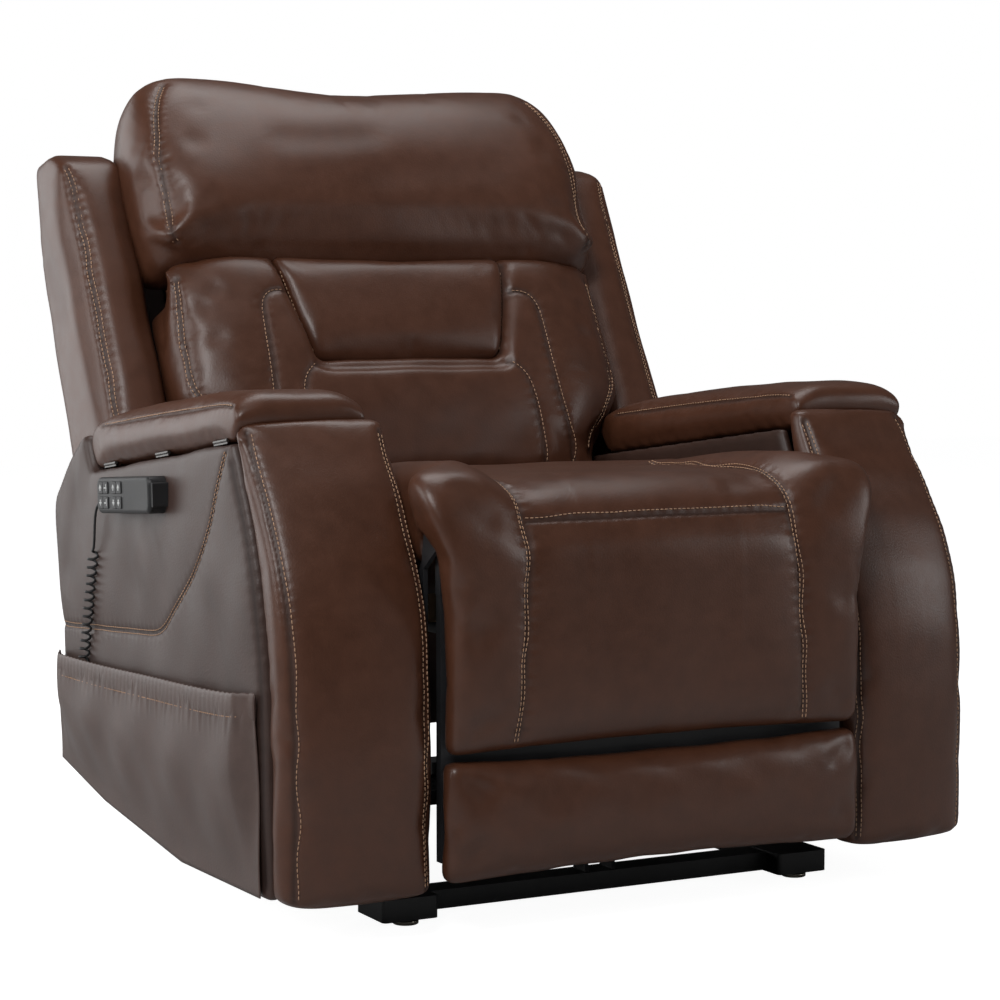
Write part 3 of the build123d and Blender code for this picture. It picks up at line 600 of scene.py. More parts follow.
lid_pads = {}
for side in SIDES:
    x_from, x_to = sides(side, lid_low[0], lid_high[0])
    lid = foam(f"{SIDE_NAME[side]}_lid_cover", lid_outline, x_from, x_to, 4.0, 22, 4.0, 5)
    swell(lid, 3.0, 5.0)
    for edge in (lid_low[0] + 3, lid_high[0] - 3):
        seam = [(side * edge, y, z) for y, z in lid_drop(lid_top, LID_EDGE_DROP)[8:-4]]
        sew(lid, seam, 1.8, 2.6, 1.2, 12, 0.5, 12)
        inward = -side if edge > 400 else side
        stitch("right_lid" if side < 0 else "left_lid", lid,
               [(x + inward * 5.0, y, z) for x, y, z in seam])
    wave(lid, 0.9, 100, 30 + side)
    lid_pads[side] = lid
print("lid pads made")

# %% [markdown]
# ## Seat and legrest cover
# One long cover runs from under the back, over the seat foam and the front edge, and
# down the legrest. The middle panel lies lower than the two bolsters beside it, and a
# stitched fold crosses the front.

# %% Seat form
def seat_outline(x):
    bolster = 25.0 * smooth_step(168, 236, abs(x)) * (1 - 0.35 * smooth_step(262, 284, abs(x)))
    centre = 3.0 * cos(pi * min(abs(x), 180) / 360)
    top = through([(113, 496), (60, 505), (-40, 513), (-160, 517 + 0.3 * bolster),
                   (-280, 520 + 0.75 * bolster),
                   (-380, 523 + bolster), (-430, 523 + bolster + centre), (-462, 515 + bolster),
                   (-484, 494 + 0.7 * bolster),
                   (-492, 462 + 0.3 * bolster), (-492, 390), (-493, 300), (-491, 240), (-484, 219),
                   (-470, 213)], 130)
    under = [(-456, 216), (-455, 452), (-448, 470), (-430, 476), (-419, 468), (-418, 440), (-340, 393),
             (78, 393), (108, 476)]
    return closed(top, under, count=300, soft=3.0)


seat = foam("seat_and_legrest_cover", seat_outline, -seat_half - 3, seat_half + 3, 13.0, 44, 4.6, 6)
points = points_of(seat)
flare = np.interp(points[:, 2], [300, 375, 443, 478, 512, 546], [0, 4, 12, 20, 29, 35])
flare *= smooth_step(-385, -445, points[:, 1]) * smooth_step(190, 284, np.abs(points[:, 0]))
points[:, 0] += np.sign(points[:, 0]) * flare
move_points(seat, points)
swell(seat, 4.0, 9.0, smooth=12)
seat_tree = surface(seat)


def onto_seat(x, y, z, to_y, to_z):
    """Where a line across the chair's side view first meets the seat."""
    start, end = Vector((x, y, z)) * MM, Vector((x, to_y, to_z)) * MM
    return [v / MM for v in seat_tree.ray_cast(start, (end - start).normalized())[0]]


# %% Seat seams
SEAM_ON_TOP = ((200, -120), (194, -200), (189, -280), (186, -360), (184, -430))
SEAM_DOWN_FRONT = ((184.5, 450), (188, 400), (191, 340), (194, 290), (198, 226))
ABOVE, IN_FRONT = 900, -700
seat_seams = []
for side in SIDES:
    run = [onto_seat(side * x, y, ABOVE, y, 300) for x, y in SEAM_ON_TOP]
    run += [onto_seat(side * 184, -430 - 300 * cos(turn), 450 + 300 * sin(turn), -430, 450)
            for turn in np.radians([75, 60, 45, 30, 15])]
    run += [onto_seat(side * x, IN_FRONT, z, -400, z) for x, z in SEAM_DOWN_FRONT]
    seam = through(run, 110)
    seat_seams.append(seam)
    sew(seat, seam, 2.8, 3.4, 5.5, 26, 0.7, 15, 20)
yoke = [onto_seat(x, IN_FRONT, 487, -300, 487) for x in np.linspace(-183, 183, 60)]
sew(seat, yoke, 2.6, 3.2, 3.4, 24, 0.5, 16)
SEAT_FOLDS = (((-283, -497, 225), (-215, -500, 275), 4.0, 14),
              ((283, -497, 225), (220, -500, 275), 4.0, 14),
              ((-283, -497, 380), (-225, -500, 345), 3.0, 20),
              ((283, -497, 400), (230, -500, 360), 3.0, 20),
              ((-180, -500, 236), (180, -500, 232), 2.0, 20),
              ((-120, -300, 525), (140, -330, 525), 2.0, 40),
              ((90, -462, 525), (178, -440, 530), 3.0, 16),
              ((-178, -430, 530), (-60, -380, 526), 3.0, 22),
              ((-280, -470, 540), (-215, -480, 470), 3.0, 18),
              ((280, -470, 540), (215, -480, 470), 3.0, 18))
for start, end, drop, width in SEAT_FOLDS:
    fold(seat, [start, end], drop, width, 30)
wave(seat, 1.3, 120, 41)
for seam in seat_seams:
    inward = -np.sign(seam[0][0])
    stitch("seat", seat, seam, (0.0, -5.0 * inward))
stitch("seat", seat, yoke, (4.5,))
print("seat cover made")

# %% Lower legrest pad
def lower_outline(x):
    bulge = 7.0 * (1 - (abs(x) / seat_half) ** 4)
    front = through([(-458, 210), (-478, 209), (-488 - bulge * 0.5, 194), (-490 - bulge, 142),
                     (-488 - bulge * 0.5, 90),
                     (-478, 71), (-458, 69)], 70)
    return closed(front, [(-454, 73), (-454, 206)], count=150, soft=3.0)


lower = foam("lower_legrest_cover", lower_outline, -seat_half - 4, seat_half + 4, 11.0, 30, 4.4, 6)
swell(lower, 4.0, 7.0, smooth=10)
for side in SIDES:
    for start, end in (((side * 284, -492, 205), (side * 225, -500, 165)),
                       ((side * 284, -492, 90), (side * 235, -500, 120))):
        fold(lower, [start, end], 3.0, 12, 24)
wave(lower, 1.1, 90, 43)
print("lower legrest pad made")

# %% [markdown]
# ## Back cushion
# The cushion fills the space between the wings above the arms, and is narrower below.
# A raised lumbar roll sits in it, with a curved panel seam on each side of it.

# %% Back cushion form
CUSHION_HALF = 344
back_front = [(30, 96), (60, 110), (110, 116), (170, 119), (240, 119), (300, 117), (350, 115),
              (374, 109), (387, 98), (385, 84),
              (362, 72), (340, 52)]


def on_back_line(marks, count=60):
    return through([on_back(*mark) for mark in marks], count)


def lumbar_half(along):
    return 144 + (180 - 144) * np.clip((along - 222) / 160, 0, 1)


def back_outline(x):
    wide = min(abs(x) / 345.0, 1.0)
    marks = []
    for along, front in back_front:
        room = smooth_step(0.70, 1.0, wide)
        marks.append((along - 4 * room * (along > 300), front - 20 * room * (front > 75)))
    return closed(on_back_line(marks, 120), [on_back(336, 8), on_back(31, 8)], count=240, soft=3.5)


back = foam("back_cushion_cover", back_outline, -CUSHION_HALF, CUSHION_HALF, 26.0, 40, 4.8, 4)
points = points_of(back)
along_back = how_far_along(points)
waist = 283 + (346 - 283) * smooth_step(72, 190, along_back) - 6 * smooth_step(290, 360, along_back)
points[:, 0] *= waist / CUSHION_HALF
half = lumbar_half(along_back)
in_window = (smooth_step(219, 232, along_back)
             * smooth_step(half - 1, half - 13, np.abs(points[:, 0])))
WINDOW_DEPTH = 30.0
sink = WINDOW_DEPTH * in_window * smooth_step(60, 90, how_far_in_front(points))
points[:, 1] += sink * cos(LEAN)
points[:, 2] -= sink * sin(LEAN)
move_points(back, points)


def outside_lumbar(places):
    """How freely each point may swell: hardly at all behind the lumbar roll."""
    along = how_far_along(places)
    half = lumbar_half(along)
    inside = smooth_step(200, 215, along) * smooth_step(half + 14, half, np.abs(places[:, 0]))
    return 1 - 0.9 * inside


# %% Back cushion seams
YOKE_MARKS = ((176, 324), (192, 324), (206, 317), (214, 300), (216, 260), (217, 200), (222, 150),
              (230, 100), (234, 56))
INNER_MARKS = ((150, 212), (162, 204), (172, 188), (178, 150), (180, 100), (180, 56))
EDGE_MARKS = ((322, 352, 92), (334, 320, 100), (339, 270, 104), (336, 220, 104), (325, 175, 103),
              (300, 125, 101), (276, 80, 98))
BACK_FOLDS = (((296, 345, 104), (258, 318, 114)), ((318, 322, 104), (280, 292, 112)),
              ((312, 246, 110), (262, 262, 118)))
settle(back, [("SMOOTH", dict(factor=0.5, iterations=4))])
swell(back, 4.0, 12.0, keep=outside_lumbar)
for side in SIDES:
    yoke_line = through(leaning(side, [(*mark, 118) for mark in YOKE_MARKS]), 80)
    inner_line = through(leaning(side, [(*mark, 118) for mark in INNER_MARKS]), 60)
    edge_line = through(leaning(side, EDGE_MARKS), 80)
    lumbar_line = through(leaning(side, [(lumbar_half(a), a, 108) for a in (372, 330, 290, 250, 228)]),
                          40)
    sew(back, yoke_line, 2.4, 3.2, 3.4, 22, 0.5, 15)
    sew(back, inner_line, 1.6, 3.0, 2.4, 18, 0.4, 16)
    sew(back, edge_line, 2.4, 3.4, 3.5, 22, 0.7, 13)
    sew(back, lumbar_line, 1.5, 4.0, 3.0, 14, 0.4, 15)
    stitch("back", back, yoke_line, (4.2 * side,))
    stitch("back", back, inner_line, (3.2 * side,))
    stitch("back", back, edge_line, (-3.6, 3.6))
    for marks in BACK_FOLDS:
        fold(back, leaning(side, marks), 2.0, 13, 26)
fold(back, [(x, *on_back(206, 118)) for x in np.linspace(-158, 158, 20)], 6.0, 12, 30)
fold(back, [(x, *on_back(96, 118)) for x in np.linspace(-200, 200, 20)], 3.0, 34, 60)
wave(back, 1.5, 120, 51)
print("back cushion made")

# %% Lumbar roll
def lumbar_outline(x):
    top = on_back_line([(222, 84), (223, 100), (230, 113), (256, 120), (310, 120), (356, 116),
                        (380, 106), (389, 92)], 60)
    return closed(top, [on_back(378, 80), on_back(225, 76)], count=150, soft=2.5)


ROLL_HALF = 160
roll = foam("lumbar_roll_cover", lumbar_outline, -ROLL_HALF, ROLL_HALF, 8.0, 26, 4.2, 4)
points = points_of(roll)
points[:, 0] *= (lumbar_half(how_far_along(points)) - 1) / ROLL_HALF
move_points(roll, points)
swell(roll, 3.5, 5.0, smooth=14)
wave(roll, 1.0, 90, 53)
for side in SIDES:
    roll_edge = leaning(side, [(lumbar_half(a) - 3.5, a, 108) for a in (364, 330, 290, 255, 233)])
    stitch("lumbar", roll, through(roll_edge, 40))
print("lumbar roll made")

# %% Headrest pillow
pillow_marks = [(390, 107), (393, 117), (405, 128), (442, 133), (530, 131), (612, 118), (667, 90),
                (683, 58), (668, 14),
                (620, -24)]


def pillow_outline(x):
    over = max(0.0, abs(x) - 262)
    corner = 72 * (1 - (1 - min(over / 84, 1.0) ** 2.4) ** 0.5) if over else 0.0
    dip = 9 * cos(pi * min(abs(x), 210) / 420) ** 2
    marks = []
    for along, front in pillow_marks:
        high = smooth_step(520, 650, along)
        marks.append((along - (corner + dip) * high,
                      front - 10 * smooth_step(250, 346, abs(x)) * (along > 430)))
    roll_line = [on_back(412 + 44 * sin(b), 42 + 66 * cos(b))
                 for b in np.radians(np.linspace(-180, -28, 30))]
    return closed(on_back_line(marks, 120), roll_line, count=240, soft=4.0)


PILLOW_HALF = 347
PILLOW_RIM = ((322, 392, 118), (332, 420, 124), (335, 470, 128), (332, 530, 126), (322, 585, 116),
              (306, 625, 98), (286, 648, 78))
PILLOW_FOLDS = (((306, 412, 122), (232, 424, 130), 1.8, 13),
                ((308, 446, 126), (244, 462, 132), 1.4, 15),
                ((306, 552, 124), (250, 540, 132), 1.6, 17), ((276, 618, 98), (238, 588, 118), 1.6, 18))
pillow = foam("headrest_pillow_cover", pillow_outline, -PILLOW_HALF, PILLOW_HALF, 24.0, 44, 4.8, 8)
swell(pillow, 4.5, 11.0)
for side in SIDES:
    rim = through(leaning(side, PILLOW_RIM), 80)
    sew(pillow, rim, 2.4, 3.4, 3.5, 22, 0.8, 12)
    stitch("headrest", pillow, rim, (-3.6, 3.6))
    for start, end, drop, width in PILLOW_FOLDS:
        fold(pillow, leaning(side, (start, end)), drop, width, 30)
fold(pillow, [(x, *on_back(560 + 8 * sin(x / 70), 132)) for x in np.linspace(-190, 40, 24)], 2.6, 26,
     60)
fold(pillow, [(x, *on_back(500 + 10 * sin(x / 90), 136)) for x in np.linspace(-60, 230, 24)], 2.2, 30,
     60)
wave(pillow, 1.8, 130, 61, (1.0, 0.6, 1.6))
print("headrest pillow made")

# %% [markdown]
# ## Wings, back panel and rear cover
# The wings are tall foam boards that close the sides of the back. A thin padded panel
# closes it behind, and a loose flap joins that panel to the fixed cover below it.

# %% Wings
wing_loop = closed(on_back_line([(595, -10), (570, 24), (555, 34)], 10),
                   on_back_line([(555, 34), (360, 48), (167, 58)], 50),
                   [on_back(167, 58), on_back(72, 58), on_back(72, -112), on_back(180, -112)],
                   on_back_line([(180, -112), (400, -110), (500, -96), (608, -70)], 60),
                   [on_back(608, -70), on_back(595, -10)],
                   count=240, soft=5.0)
WING_SEAM_MARKS = ((556, 26), (520, 38), (400, 48), (280, 54), (167, 60), (90, 60))
wings = {}
for side in SIDES:
    x_from, x_to = sides(side, wing_low[0], wing_high[0])
    wing = foam(f"{SIDE_NAME[side]}_wing_cover", lambda x: wing_loop, x_from, x_to, 15.0, 10, 4.8, 6)
    crown(wing, wing_loop, 0, 4.0, 30, side)
    swell(wing, 3.0, 5.0)
    seam = through(leaning(side, [(wing_high[0] - 11, *mark) for mark in WING_SEAM_MARKS]), 90)
    sew(wing, seam, 2.2, 3.2, 3.0, 20, 0.6, 14)
    stitch("back", wing, seam, (-3.4, 3.4))
    fold(wing, [(side * 442, *on_back(500, -60)), (side * 442, *on_back(300, -20))], 2.4, 26, 60)
    wave(wing, 1.2, 140, 70 + side)
    wings[side] = wing
print("wings made")

# %% Rear panels and flap
def rear_panel_outline(x):
    bow = 5.0 * cos(pi * x / 890)
    face = on_back_line([(72, -113), (180, -113), (400, -111), (500, -97), (603, -71)], 70)
    skin = on_back_line([(606, -80), (500, -107 - bow), (400, -121 - bow), (180, -123 - bow),
                         (74, -122)], 70)
    return closed(face, skin, count=260, soft=2.0)


REAR_SEAM_MARKS = ((80, -124), (200, -126), (400, -124), (500, -110), (590, -86))
rear_panel = foam("back_rear_cover", rear_panel_outline, -429, 429, 6.0, 30, 4.6, 4)
for side in SIDES:
    seam = through(leaning(side, [(405, *mark) for mark in REAR_SEAM_MARKS]), 80)
    sew(rear_panel, seam, 1.6, 3.2, 2.0, 18, 0.4, 16)
    stitch("back", rear_panel, seam, (4.0 * side,))
wave(rear_panel, 1.3, 170, 81)

fixed_loop = closed([(286, 122), (296, 122), (299, 215), (296, 308), (286, 308)], count=150, soft=1.5)
rear_cover = foam("rear_cover_panel", lambda x: fixed_loop, -453, 453, 4.0, 30, 4.4, 3)
wave(rear_cover, 1.0, 150, 83)


def sheet_faces(rows, columns):
    """Faces of a grid of points, row by row."""
    corners = [(row * columns + column, row * columns + column + 1)
               for row in range(rows - 1) for column in range(columns - 1)]
    return [(first, second, second + columns, first + columns) for first, second in corners]


# %% Flap between the two rear panels
FLAP_ROWS, FLAP_COLUMNS, FLAP_WIDTH = 26, 60, 864
flap_line = through([(296, 292), (308, 330), (334, 385), (347, 442)], FLAP_ROWS)
flap_points = []
for row, (flap_y, flap_z) in enumerate(flap_line):
    share = row / (FLAP_ROWS - 1)
    for column in range(FLAP_COLUMNS):
        x = FLAP_WIDTH * (column / (FLAP_COLUMNS - 1) - 0.5)
        sag = 5.0 * sin(pi * share) * (1 + 0.6 * sin(x / 31.0) * sin(x / 83.0 + 2 * share))
        flap_points.append((x, flap_y + 2 - sag, flap_z))
flap = mesh_from("rear_flap", flap_points,
                 [face[::-1] for face in sheet_faces(FLAP_ROWS, FLAP_COLUMNS)])
settle(flap, [("SOLIDIFY", dict(thickness=1.6 * MM, offset=0.0))])

# %% [markdown]
# ## Side pockets
# A pocket is a flat sheet sewn along its ends and bottom. Elastic in the hem is
# shorter than the cloth, so the cloth gathers under it in small folds that fade out
# further down, and the mouth stands off the arm a little.

# %% Pocket sheet and hem
hem_line = through([(300, 262), (180, 264), (60, 268), (-75, 274), (-200, 279), (-300, 284),
                    (-388, 291)], 230)
foot_line = even([(292, 118), (122, 86), (-155, 56), (-400, 60)], 230)
POCKET_ROWS, POCKET_COLUMNS = 46, 230


def pocket_stand(run):
    """How far the mouth stands off the arm, along the pocket."""
    return 14.0 * smooth_step(0, 0.06, run) * smooth_step(1, 0.94, run)


def pocket_sheet(side):
    points = []
    for row in range(POCKET_ROWS):
        share = row / (POCKET_ROWS - 1)
        for column in range(POCKET_COLUMNS):
            run = column / (POCKET_COLUMNS - 1)
            stand = pocket_stand(run) * (1 - smooth_step(0.35, 1.0, share))
            belly = (4.0 * sin(pi * min(share * 1.15, 1.0))
                     * smooth_step(0, 0.1, run) * smooth_step(1, 0.9, run))
            gather = 1.0 * (1 - smooth_step(0.05, 0.26, share)) * smooth_step(0, 0.05, share)
            pleat = gather * (sin(2 * pi * run * 41 + 2.0 * sin(9 * run))
                              + 0.5 * sin(2 * pi * run * 67 + 1.3))
            slow_folds = (sin(2 * pi * (run * 4.3 + share * 0.8))
                          + 0.5 * sin(2 * pi * (run * 7.1 - share)))
            drape = 1.8 * sin(pi * share) * slow_folds
            y = hem_line[column][0] * (1 - share) + foot_line[column][0] * share
            z = hem_line[column][1] * (1 - share) + foot_line[column][1] * share
            points.append((side * (arm_outer + 3.5 + stand + belly + pleat + drape), y, z))
    faces = sheet_faces(POCKET_ROWS, POCKET_COLUMNS)
    grid = np.array(points).reshape(POCKET_ROWS, POCKET_COLUMNS, 3)
    wide = float(np.linalg.norm(np.diff(grid[6], axis=0), axis=1).sum())
    tall = np.linalg.norm(np.diff(grid, axis=0), axis=2).sum(0)
    sheet = mesh_from(f"{SIDE_NAME[side]}_side_pocket_sheet", points, faces)
    settle(sheet, [("SOLIDIFY", dict(thickness=1.4 * MM, offset=-1.0))])
    outwards(sheet)
    print(sheet.name, "cut", round(wide), "by", round(float(tall.max())), "mm")
    return sheet, wide, float(tall.max()), wide * float(tall.mean())


def pocket_hem(side):
    rings = []
    for column in range(POCKET_COLUMNS):
        run = column / (POCKET_COLUMNS - 1)
        ripple = 0.6 * sin(2 * pi * run * 52 + 2 * sin(11 * run))
        x = arm_outer + 4.4 + pocket_stand(run)
        rings.append([(side * (x + (2.2 + 0.5 * ripple) * cos(corner)), hem_line[column][0],
                       hem_line[column][1] - 14 + 16.5 * sin(corner) + ripple)
                      for corner in np.linspace(0, 2 * pi, 17)[:-1]])
    band = loft(f"{SIDE_NAME[side]}_side_pocket_hem", rings)
    stitch("chair", band, [(side * (arm_outer + 25), y, z - 26.0) for y, z in hem_line[6:-6]])
    return band


pockets = {side: (pocket_sheet(side), pocket_hem(side)) for side in SIDES}
print(len(pockets), "pockets made")

# %% [markdown]
# ## Handset marks
# The keys of a lift chair's handset carry small pale symbols. These are plain
# triangles and bars, raised a hair above each key.

# %% Key symbols
KEY_TILT = radians(-3.6)
KEY_MARK_HALF = (4.6, 4.4)


def key_symbol(number, shape):
    low, high = box_mm(f"handset_key_{number}")
    middle = (low + high) / 2
    shapes = {
        "up": [[(-1, -0.2), (1, -0.2), (0, 1)],
               [(-0.35, -0.9), (0.35, -0.9), (0.35, -0.2), (-0.35, -0.2)]],
        "down": [[(-1, 0.2), (0, -1), (1, 0.2)],
                 [(-0.35, 0.2), (0.35, 0.2), (0.35, 0.9), (-0.35, 0.9)]],
        "seat": [[(-1, -1), (-0.6, -1), (-0.6, 1), (-1, 1)],
                 [(-0.6, -0.3), (0.9, -0.3), (0.9, 0.15), (-0.6, 0.15)]],
    }
    points, faces = [], []
    for outline in shapes[shape]:
        base = len(points)
        for depth in (low[0] - 0.25, low[0] + 0.6):
            for y, z in outline:
                y, z = y * KEY_MARK_HALF[0], z * KEY_MARK_HALF[1]
                points.append((depth, middle[1] + y * cos(KEY_TILT) - z * sin(KEY_TILT),
                               middle[2] + y * sin(KEY_TILT) + z * cos(KEY_TILT)))
        size = len(outline)
        faces.append(tuple(range(base, base + size)))
        faces.append(tuple(range(base + size, base + 2 * size))[::-1])
        faces += [(base + i, base + size + i, base + size + (i + 1) % size, base + (i + 1) % size)
                  for i in range(size)]
    return outwards(mesh_from(f"key_mark_{number}", points, faces))


key_marks = {number: key_symbol(number, shape) for number, shape in
             zip(range(1, 9), ("up", "down", "seat", "seat", "up", "down", "up", "down"))}
print(len(key_marks), "key marks")

# %% [markdown]
# ## Finishes
# Leather is one node group used with different values: a fine pebble grain, finer
# pores, slow colour drift, and painted shade in the creases where seams pull it in.

# %% Node helpers
def group(name, inputs, outputs):
    tree = bpy.data.node_groups.new(name, "ShaderNodeTree")
    for label, kind, value in inputs:
        socket = tree.interface.new_socket(name=label, in_out="INPUT", socket_type=kind)
        socket.default_value = value
    for label, kind in outputs:
        tree.interface.new_socket(name=label, in_out="OUTPUT", socket_type=kind)
    return tree, tree.nodes.new("NodeGroupInput"), tree.nodes.new("NodeGroupOutput")


def put(tree, kind, **values):
    node = tree.nodes.new(kind)
    for key, value in values.items():
        if key in node.inputs.keys():
            node.inputs[key].default_value = value
        else:
            setattr(node, key, value)
    return node


def mix(tree, factor, first, second, blend="MIX"):
    node = put(tree, "ShaderNodeMix", data_type="RGBA", blend_type=blend)
    for socket, value in ((node.inputs[0], factor), (node.inputs[6], first), (node.inputs[7], second)):
        if isinstance(value, bpy.types.NodeSocket):
            tree.links.new(value, socket)
        else:
            socket.default_value = value
    return node.outputs[2]


def maths(tree, operation, first, second=0.0, third=0.0):
    node = put(tree, "ShaderNodeMath", operation=operation)
    for socket, value in zip(node.inputs, (first, second, third)):
        if isinstance(value, bpy.types.NodeSocket):
            tree.links.new(value, socket)
        else:
            socket.default_value = value
    return node.outputs[0]


def remap(tree, value, low, high, low_to, high_to):
    node = put(tree, "ShaderNodeMapRange",
               **{"From Min": low, "From Max": high, "To Min": low_to, "To Max": high_to})
    tree.links.new(value, node.inputs["Value"])
    return node.outputs[0]


# %% Leather group
leather_tree, leather_in, leather_out = group(
    "leather_grain",
    [("Colour", "NodeSocketColor", (0.07, 0.03, 0.02, 1)),
     ("Worn colour", "NodeSocketColor", (0.12, 0.06, 0.04, 1)),
     ("Grain size", "NodeSocketFloat", 420.0), ("Roughness", "NodeSocketFloat", 0.4)],
    [("Colour", "NodeSocketColor"), ("Roughness", "NodeSocketFloat"), ("Height", "NodeSocketFloat")])
place = put(leather_tree, "ShaderNodeTexCoord").outputs["Object"]
pebble = put(leather_tree, "ShaderNodeTexVoronoi", feature="SMOOTH_F1")
pebble.inputs["Smoothness"].default_value = 0.35
leather_tree.links.new(place, pebble.inputs["Vector"])
leather_tree.links.new(leather_in.outputs["Grain size"], pebble.inputs["Scale"])
pores = put(leather_tree, "ShaderNodeTexNoise", Scale=1300.0, Detail=3.0, Roughness=0.6)
drift = put(leather_tree, "ShaderNodeTexNoise", Scale=5.0, Detail=4.0, Roughness=0.55)
cloud = put(leather_tree, "ShaderNodeTexNoise", Scale=38.0, Detail=5.0, Roughness=0.6)
for node in (pores, drift, cloud):
    leather_tree.links.new(place, node.inputs["Vector"])
seam_shade_mask = put(leather_tree, "ShaderNodeAttribute", attribute_name="crease").outputs["Fac"]
drifted = remap(leather_tree, drift.outputs[0], 0.35, 0.7, 0.0, 0.45)
base_colour = mix(leather_tree, drifted, leather_in.outputs["Colour"],
                  leather_in.outputs["Worn colour"])
clouded = remap(leather_tree, cloud.outputs[0], 0.3, 0.7, 0.86, 1.1)
grey = put(leather_tree, "ShaderNodeCombineColor")
for k in range(3):
    leather_tree.links.new(clouded, grey.inputs[k])
toned = mix(leather_tree, 1.0, base_colour, grey.outputs[0], "MULTIPLY")
# Painted shade: near seams and folds the leather is mixed towards this near-black brown, standing for
# the shade in the grooves.
SEAM_SHADE_COLOUR = (0.012, 0.005, 0.0035, 1)
dark = mix(leather_tree, maths(leather_tree, "MULTIPLY", seam_shade_mask, 0.6), toned, SEAM_SHADE_COLOUR)
leather_tree.links.new(dark, leather_out.inputs["Colour"])
rough = maths(leather_tree, "MULTIPLY_ADD", cloud.outputs[0], 0.16, -0.08)
rough = maths(leather_tree, "ADD", rough, leather_in.outputs["Roughness"])
rough = maths(leather_tree, "MULTIPLY_ADD", seam_shade_mask, 0.2, rough)
leather_tree.links.new(rough, leather_out.inputs["Roughness"])
height = maths(leather_tree, "MULTIPLY_ADD", pores.outputs[0], 0.35, pebble.outputs["Distance"])
leather_tree.links.new(height, leather_out.inputs["Height"])


# %% Making materials
def new_material(name):
    material = bpy.data.materials.new(name)
    material.use_nodes = True
    tree = material.node_tree
    return material, tree, tree.nodes["Principled BSDF"]


def leather(name, colour, worn, roughness, grain=420.0, bump=0.16, coat=0.12):
    material, tree, shader = new_material(name)
    body = put(tree, "ShaderNodeGroup", node_tree=leather_tree)
    body.inputs["Colour"].default_value = (*colour, 1)
    body.inputs["Worn colour"].default_value = (*worn, 1)
    body.inputs["Grain size"].default_value = grain
    body.inputs["Roughness"].default_value = roughness
    tree.links.new(body.outputs["Colour"], shader.inputs["Base Color"])
    tree.links.new(body.outputs["Roughness"], shader.inputs["Roughness"])
    dent = put(tree, "ShaderNodeBump", Strength=bump, Distance=0.0006)
    tree.links.new(body.outputs["Height"], dent.inputs["Height"])
    tree.links.new(dent.outputs[0], shader.inputs["Normal"])
    shader.inputs["Coat Weight"].default_value = coat
    shader.inputs["Coat Roughness"].default_value = 0.32
    shader.inputs["Specular IOR Level"].default_value = 0.5
    return material


brown_leather = leather("brown_leather_top", (0.081, 0.0278, 0.0128), (0.112, 0.043, 0.0235), 0.38)
# Painted shade: a darker copy of the brown leather for the inner arm panels, which lie in shade beside
# the seat.
shaded_inside_leather = leather("brown_leather_inside", (0.036, 0.015, 0.009), (0.050, 0.021, 0.013), 0.5,
                         coat=0.04)
# Painted sheen: a lighter, greyer copy of the brown leather for the side pockets, standing for the
# sheen of the left lights on the outer side.
sheen_pocket_leather = leather("brown_leather_pocket", (0.086, 0.053, 0.044), (0.106, 0.066, 0.056), 0.44,
                         380.0, 0.2, 0.08)
# Painted sheen: a greyer copy of the brown leather for the outer arm panels, the rear panels and the
# flap, standing for the grey sheen the left lights leave on the sides.
sheen_side_leather = leather("brown_leather_side", (0.060, 0.033, 0.026), (0.080, 0.046, 0.037), 0.46, 380.0,
                       0.2, 0.06)

plain_tree, plain_in, plain_out = group(
    "worn_surface",
    [("Colour", "NodeSocketColor", (0.03, 0.03, 0.03, 1)), ("Speck size", "NodeSocketFloat", 300.0),
     ("Roughness", "NodeSocketFloat", 0.5), ("Spread", "NodeSocketFloat", 0.15)],
    [("Colour", "NodeSocketColor"), ("Roughness", "NodeSocketFloat"), ("Height", "NodeSocketFloat")])
plain_place = put(plain_tree, "ShaderNodeTexCoord").outputs["Object"]
speck = put(plain_tree, "ShaderNodeTexNoise", Detail=4.0, Roughness=0.65)
plain_tree.links.new(plain_place, speck.inputs["Vector"])
plain_tree.links.new(plain_in.outputs["Speck size"], speck.inputs["Scale"])
smear = put(plain_tree, "ShaderNodeTexNoise", Scale=14.0, Detail=3.0, Roughness=0.5)
plain_tree.links.new(plain_place, smear.inputs["Vector"])
tone = remap(plain_tree, smear.outputs[0], 0.3, 0.7, 0.75, 1.2)
tint = put(plain_tree, "ShaderNodeCombineColor")
for k in range(3):
    plain_tree.links.new(tone, tint.inputs[k])
tinted = mix(plain_tree, 1.0, plain_in.outputs["Colour"], tint.outputs[0], "MULTIPLY")
plain_tree.links.new(tinted, plain_out.inputs["Colour"])
swing = maths(plain_tree, "SUBTRACT", smear.outputs[0], 0.5)
swing = maths(plain_tree, "MULTIPLY", swing, plain_in.outputs["Spread"])
swing = maths(plain_tree, "ADD", swing, plain_in.outputs["Roughness"])
plain_tree.links.new(swing, plain_out.inputs["Roughness"])
plain_tree.links.new(speck.outputs[0], plain_out.inputs["Height"])


def hard(name, colour, roughness, metallic=0.0, speck_size=900.0, bump=0.1, distance=0.0003,
         spread=0.15):
    material, tree, shader = new_material(name)
    body = put(tree, "ShaderNodeGroup", node_tree=plain_tree)
    body.inputs["Colour"].default_value = (*colour, 1)
    body.inputs["Roughness"].default_value = roughness
    body.inputs["Speck size"].default_value = speck_size
    body.inputs["Spread"].default_value = spread
    tree.links.new(body.outputs["Colour"], shader.inputs["Base Color"])
    tree.links.new(body.outputs["Roughness"], shader.inputs["Roughness"])
    dent = put(tree, "ShaderNodeBump", Strength=bump, Distance=distance)
    tree.links.new(body.outputs["Height"], dent.inputs["Height"])
    tree.links.new(dent.outputs[0], shader.inputs["Normal"])
    shader.inputs["Metallic"].default_value = metallic
    return material


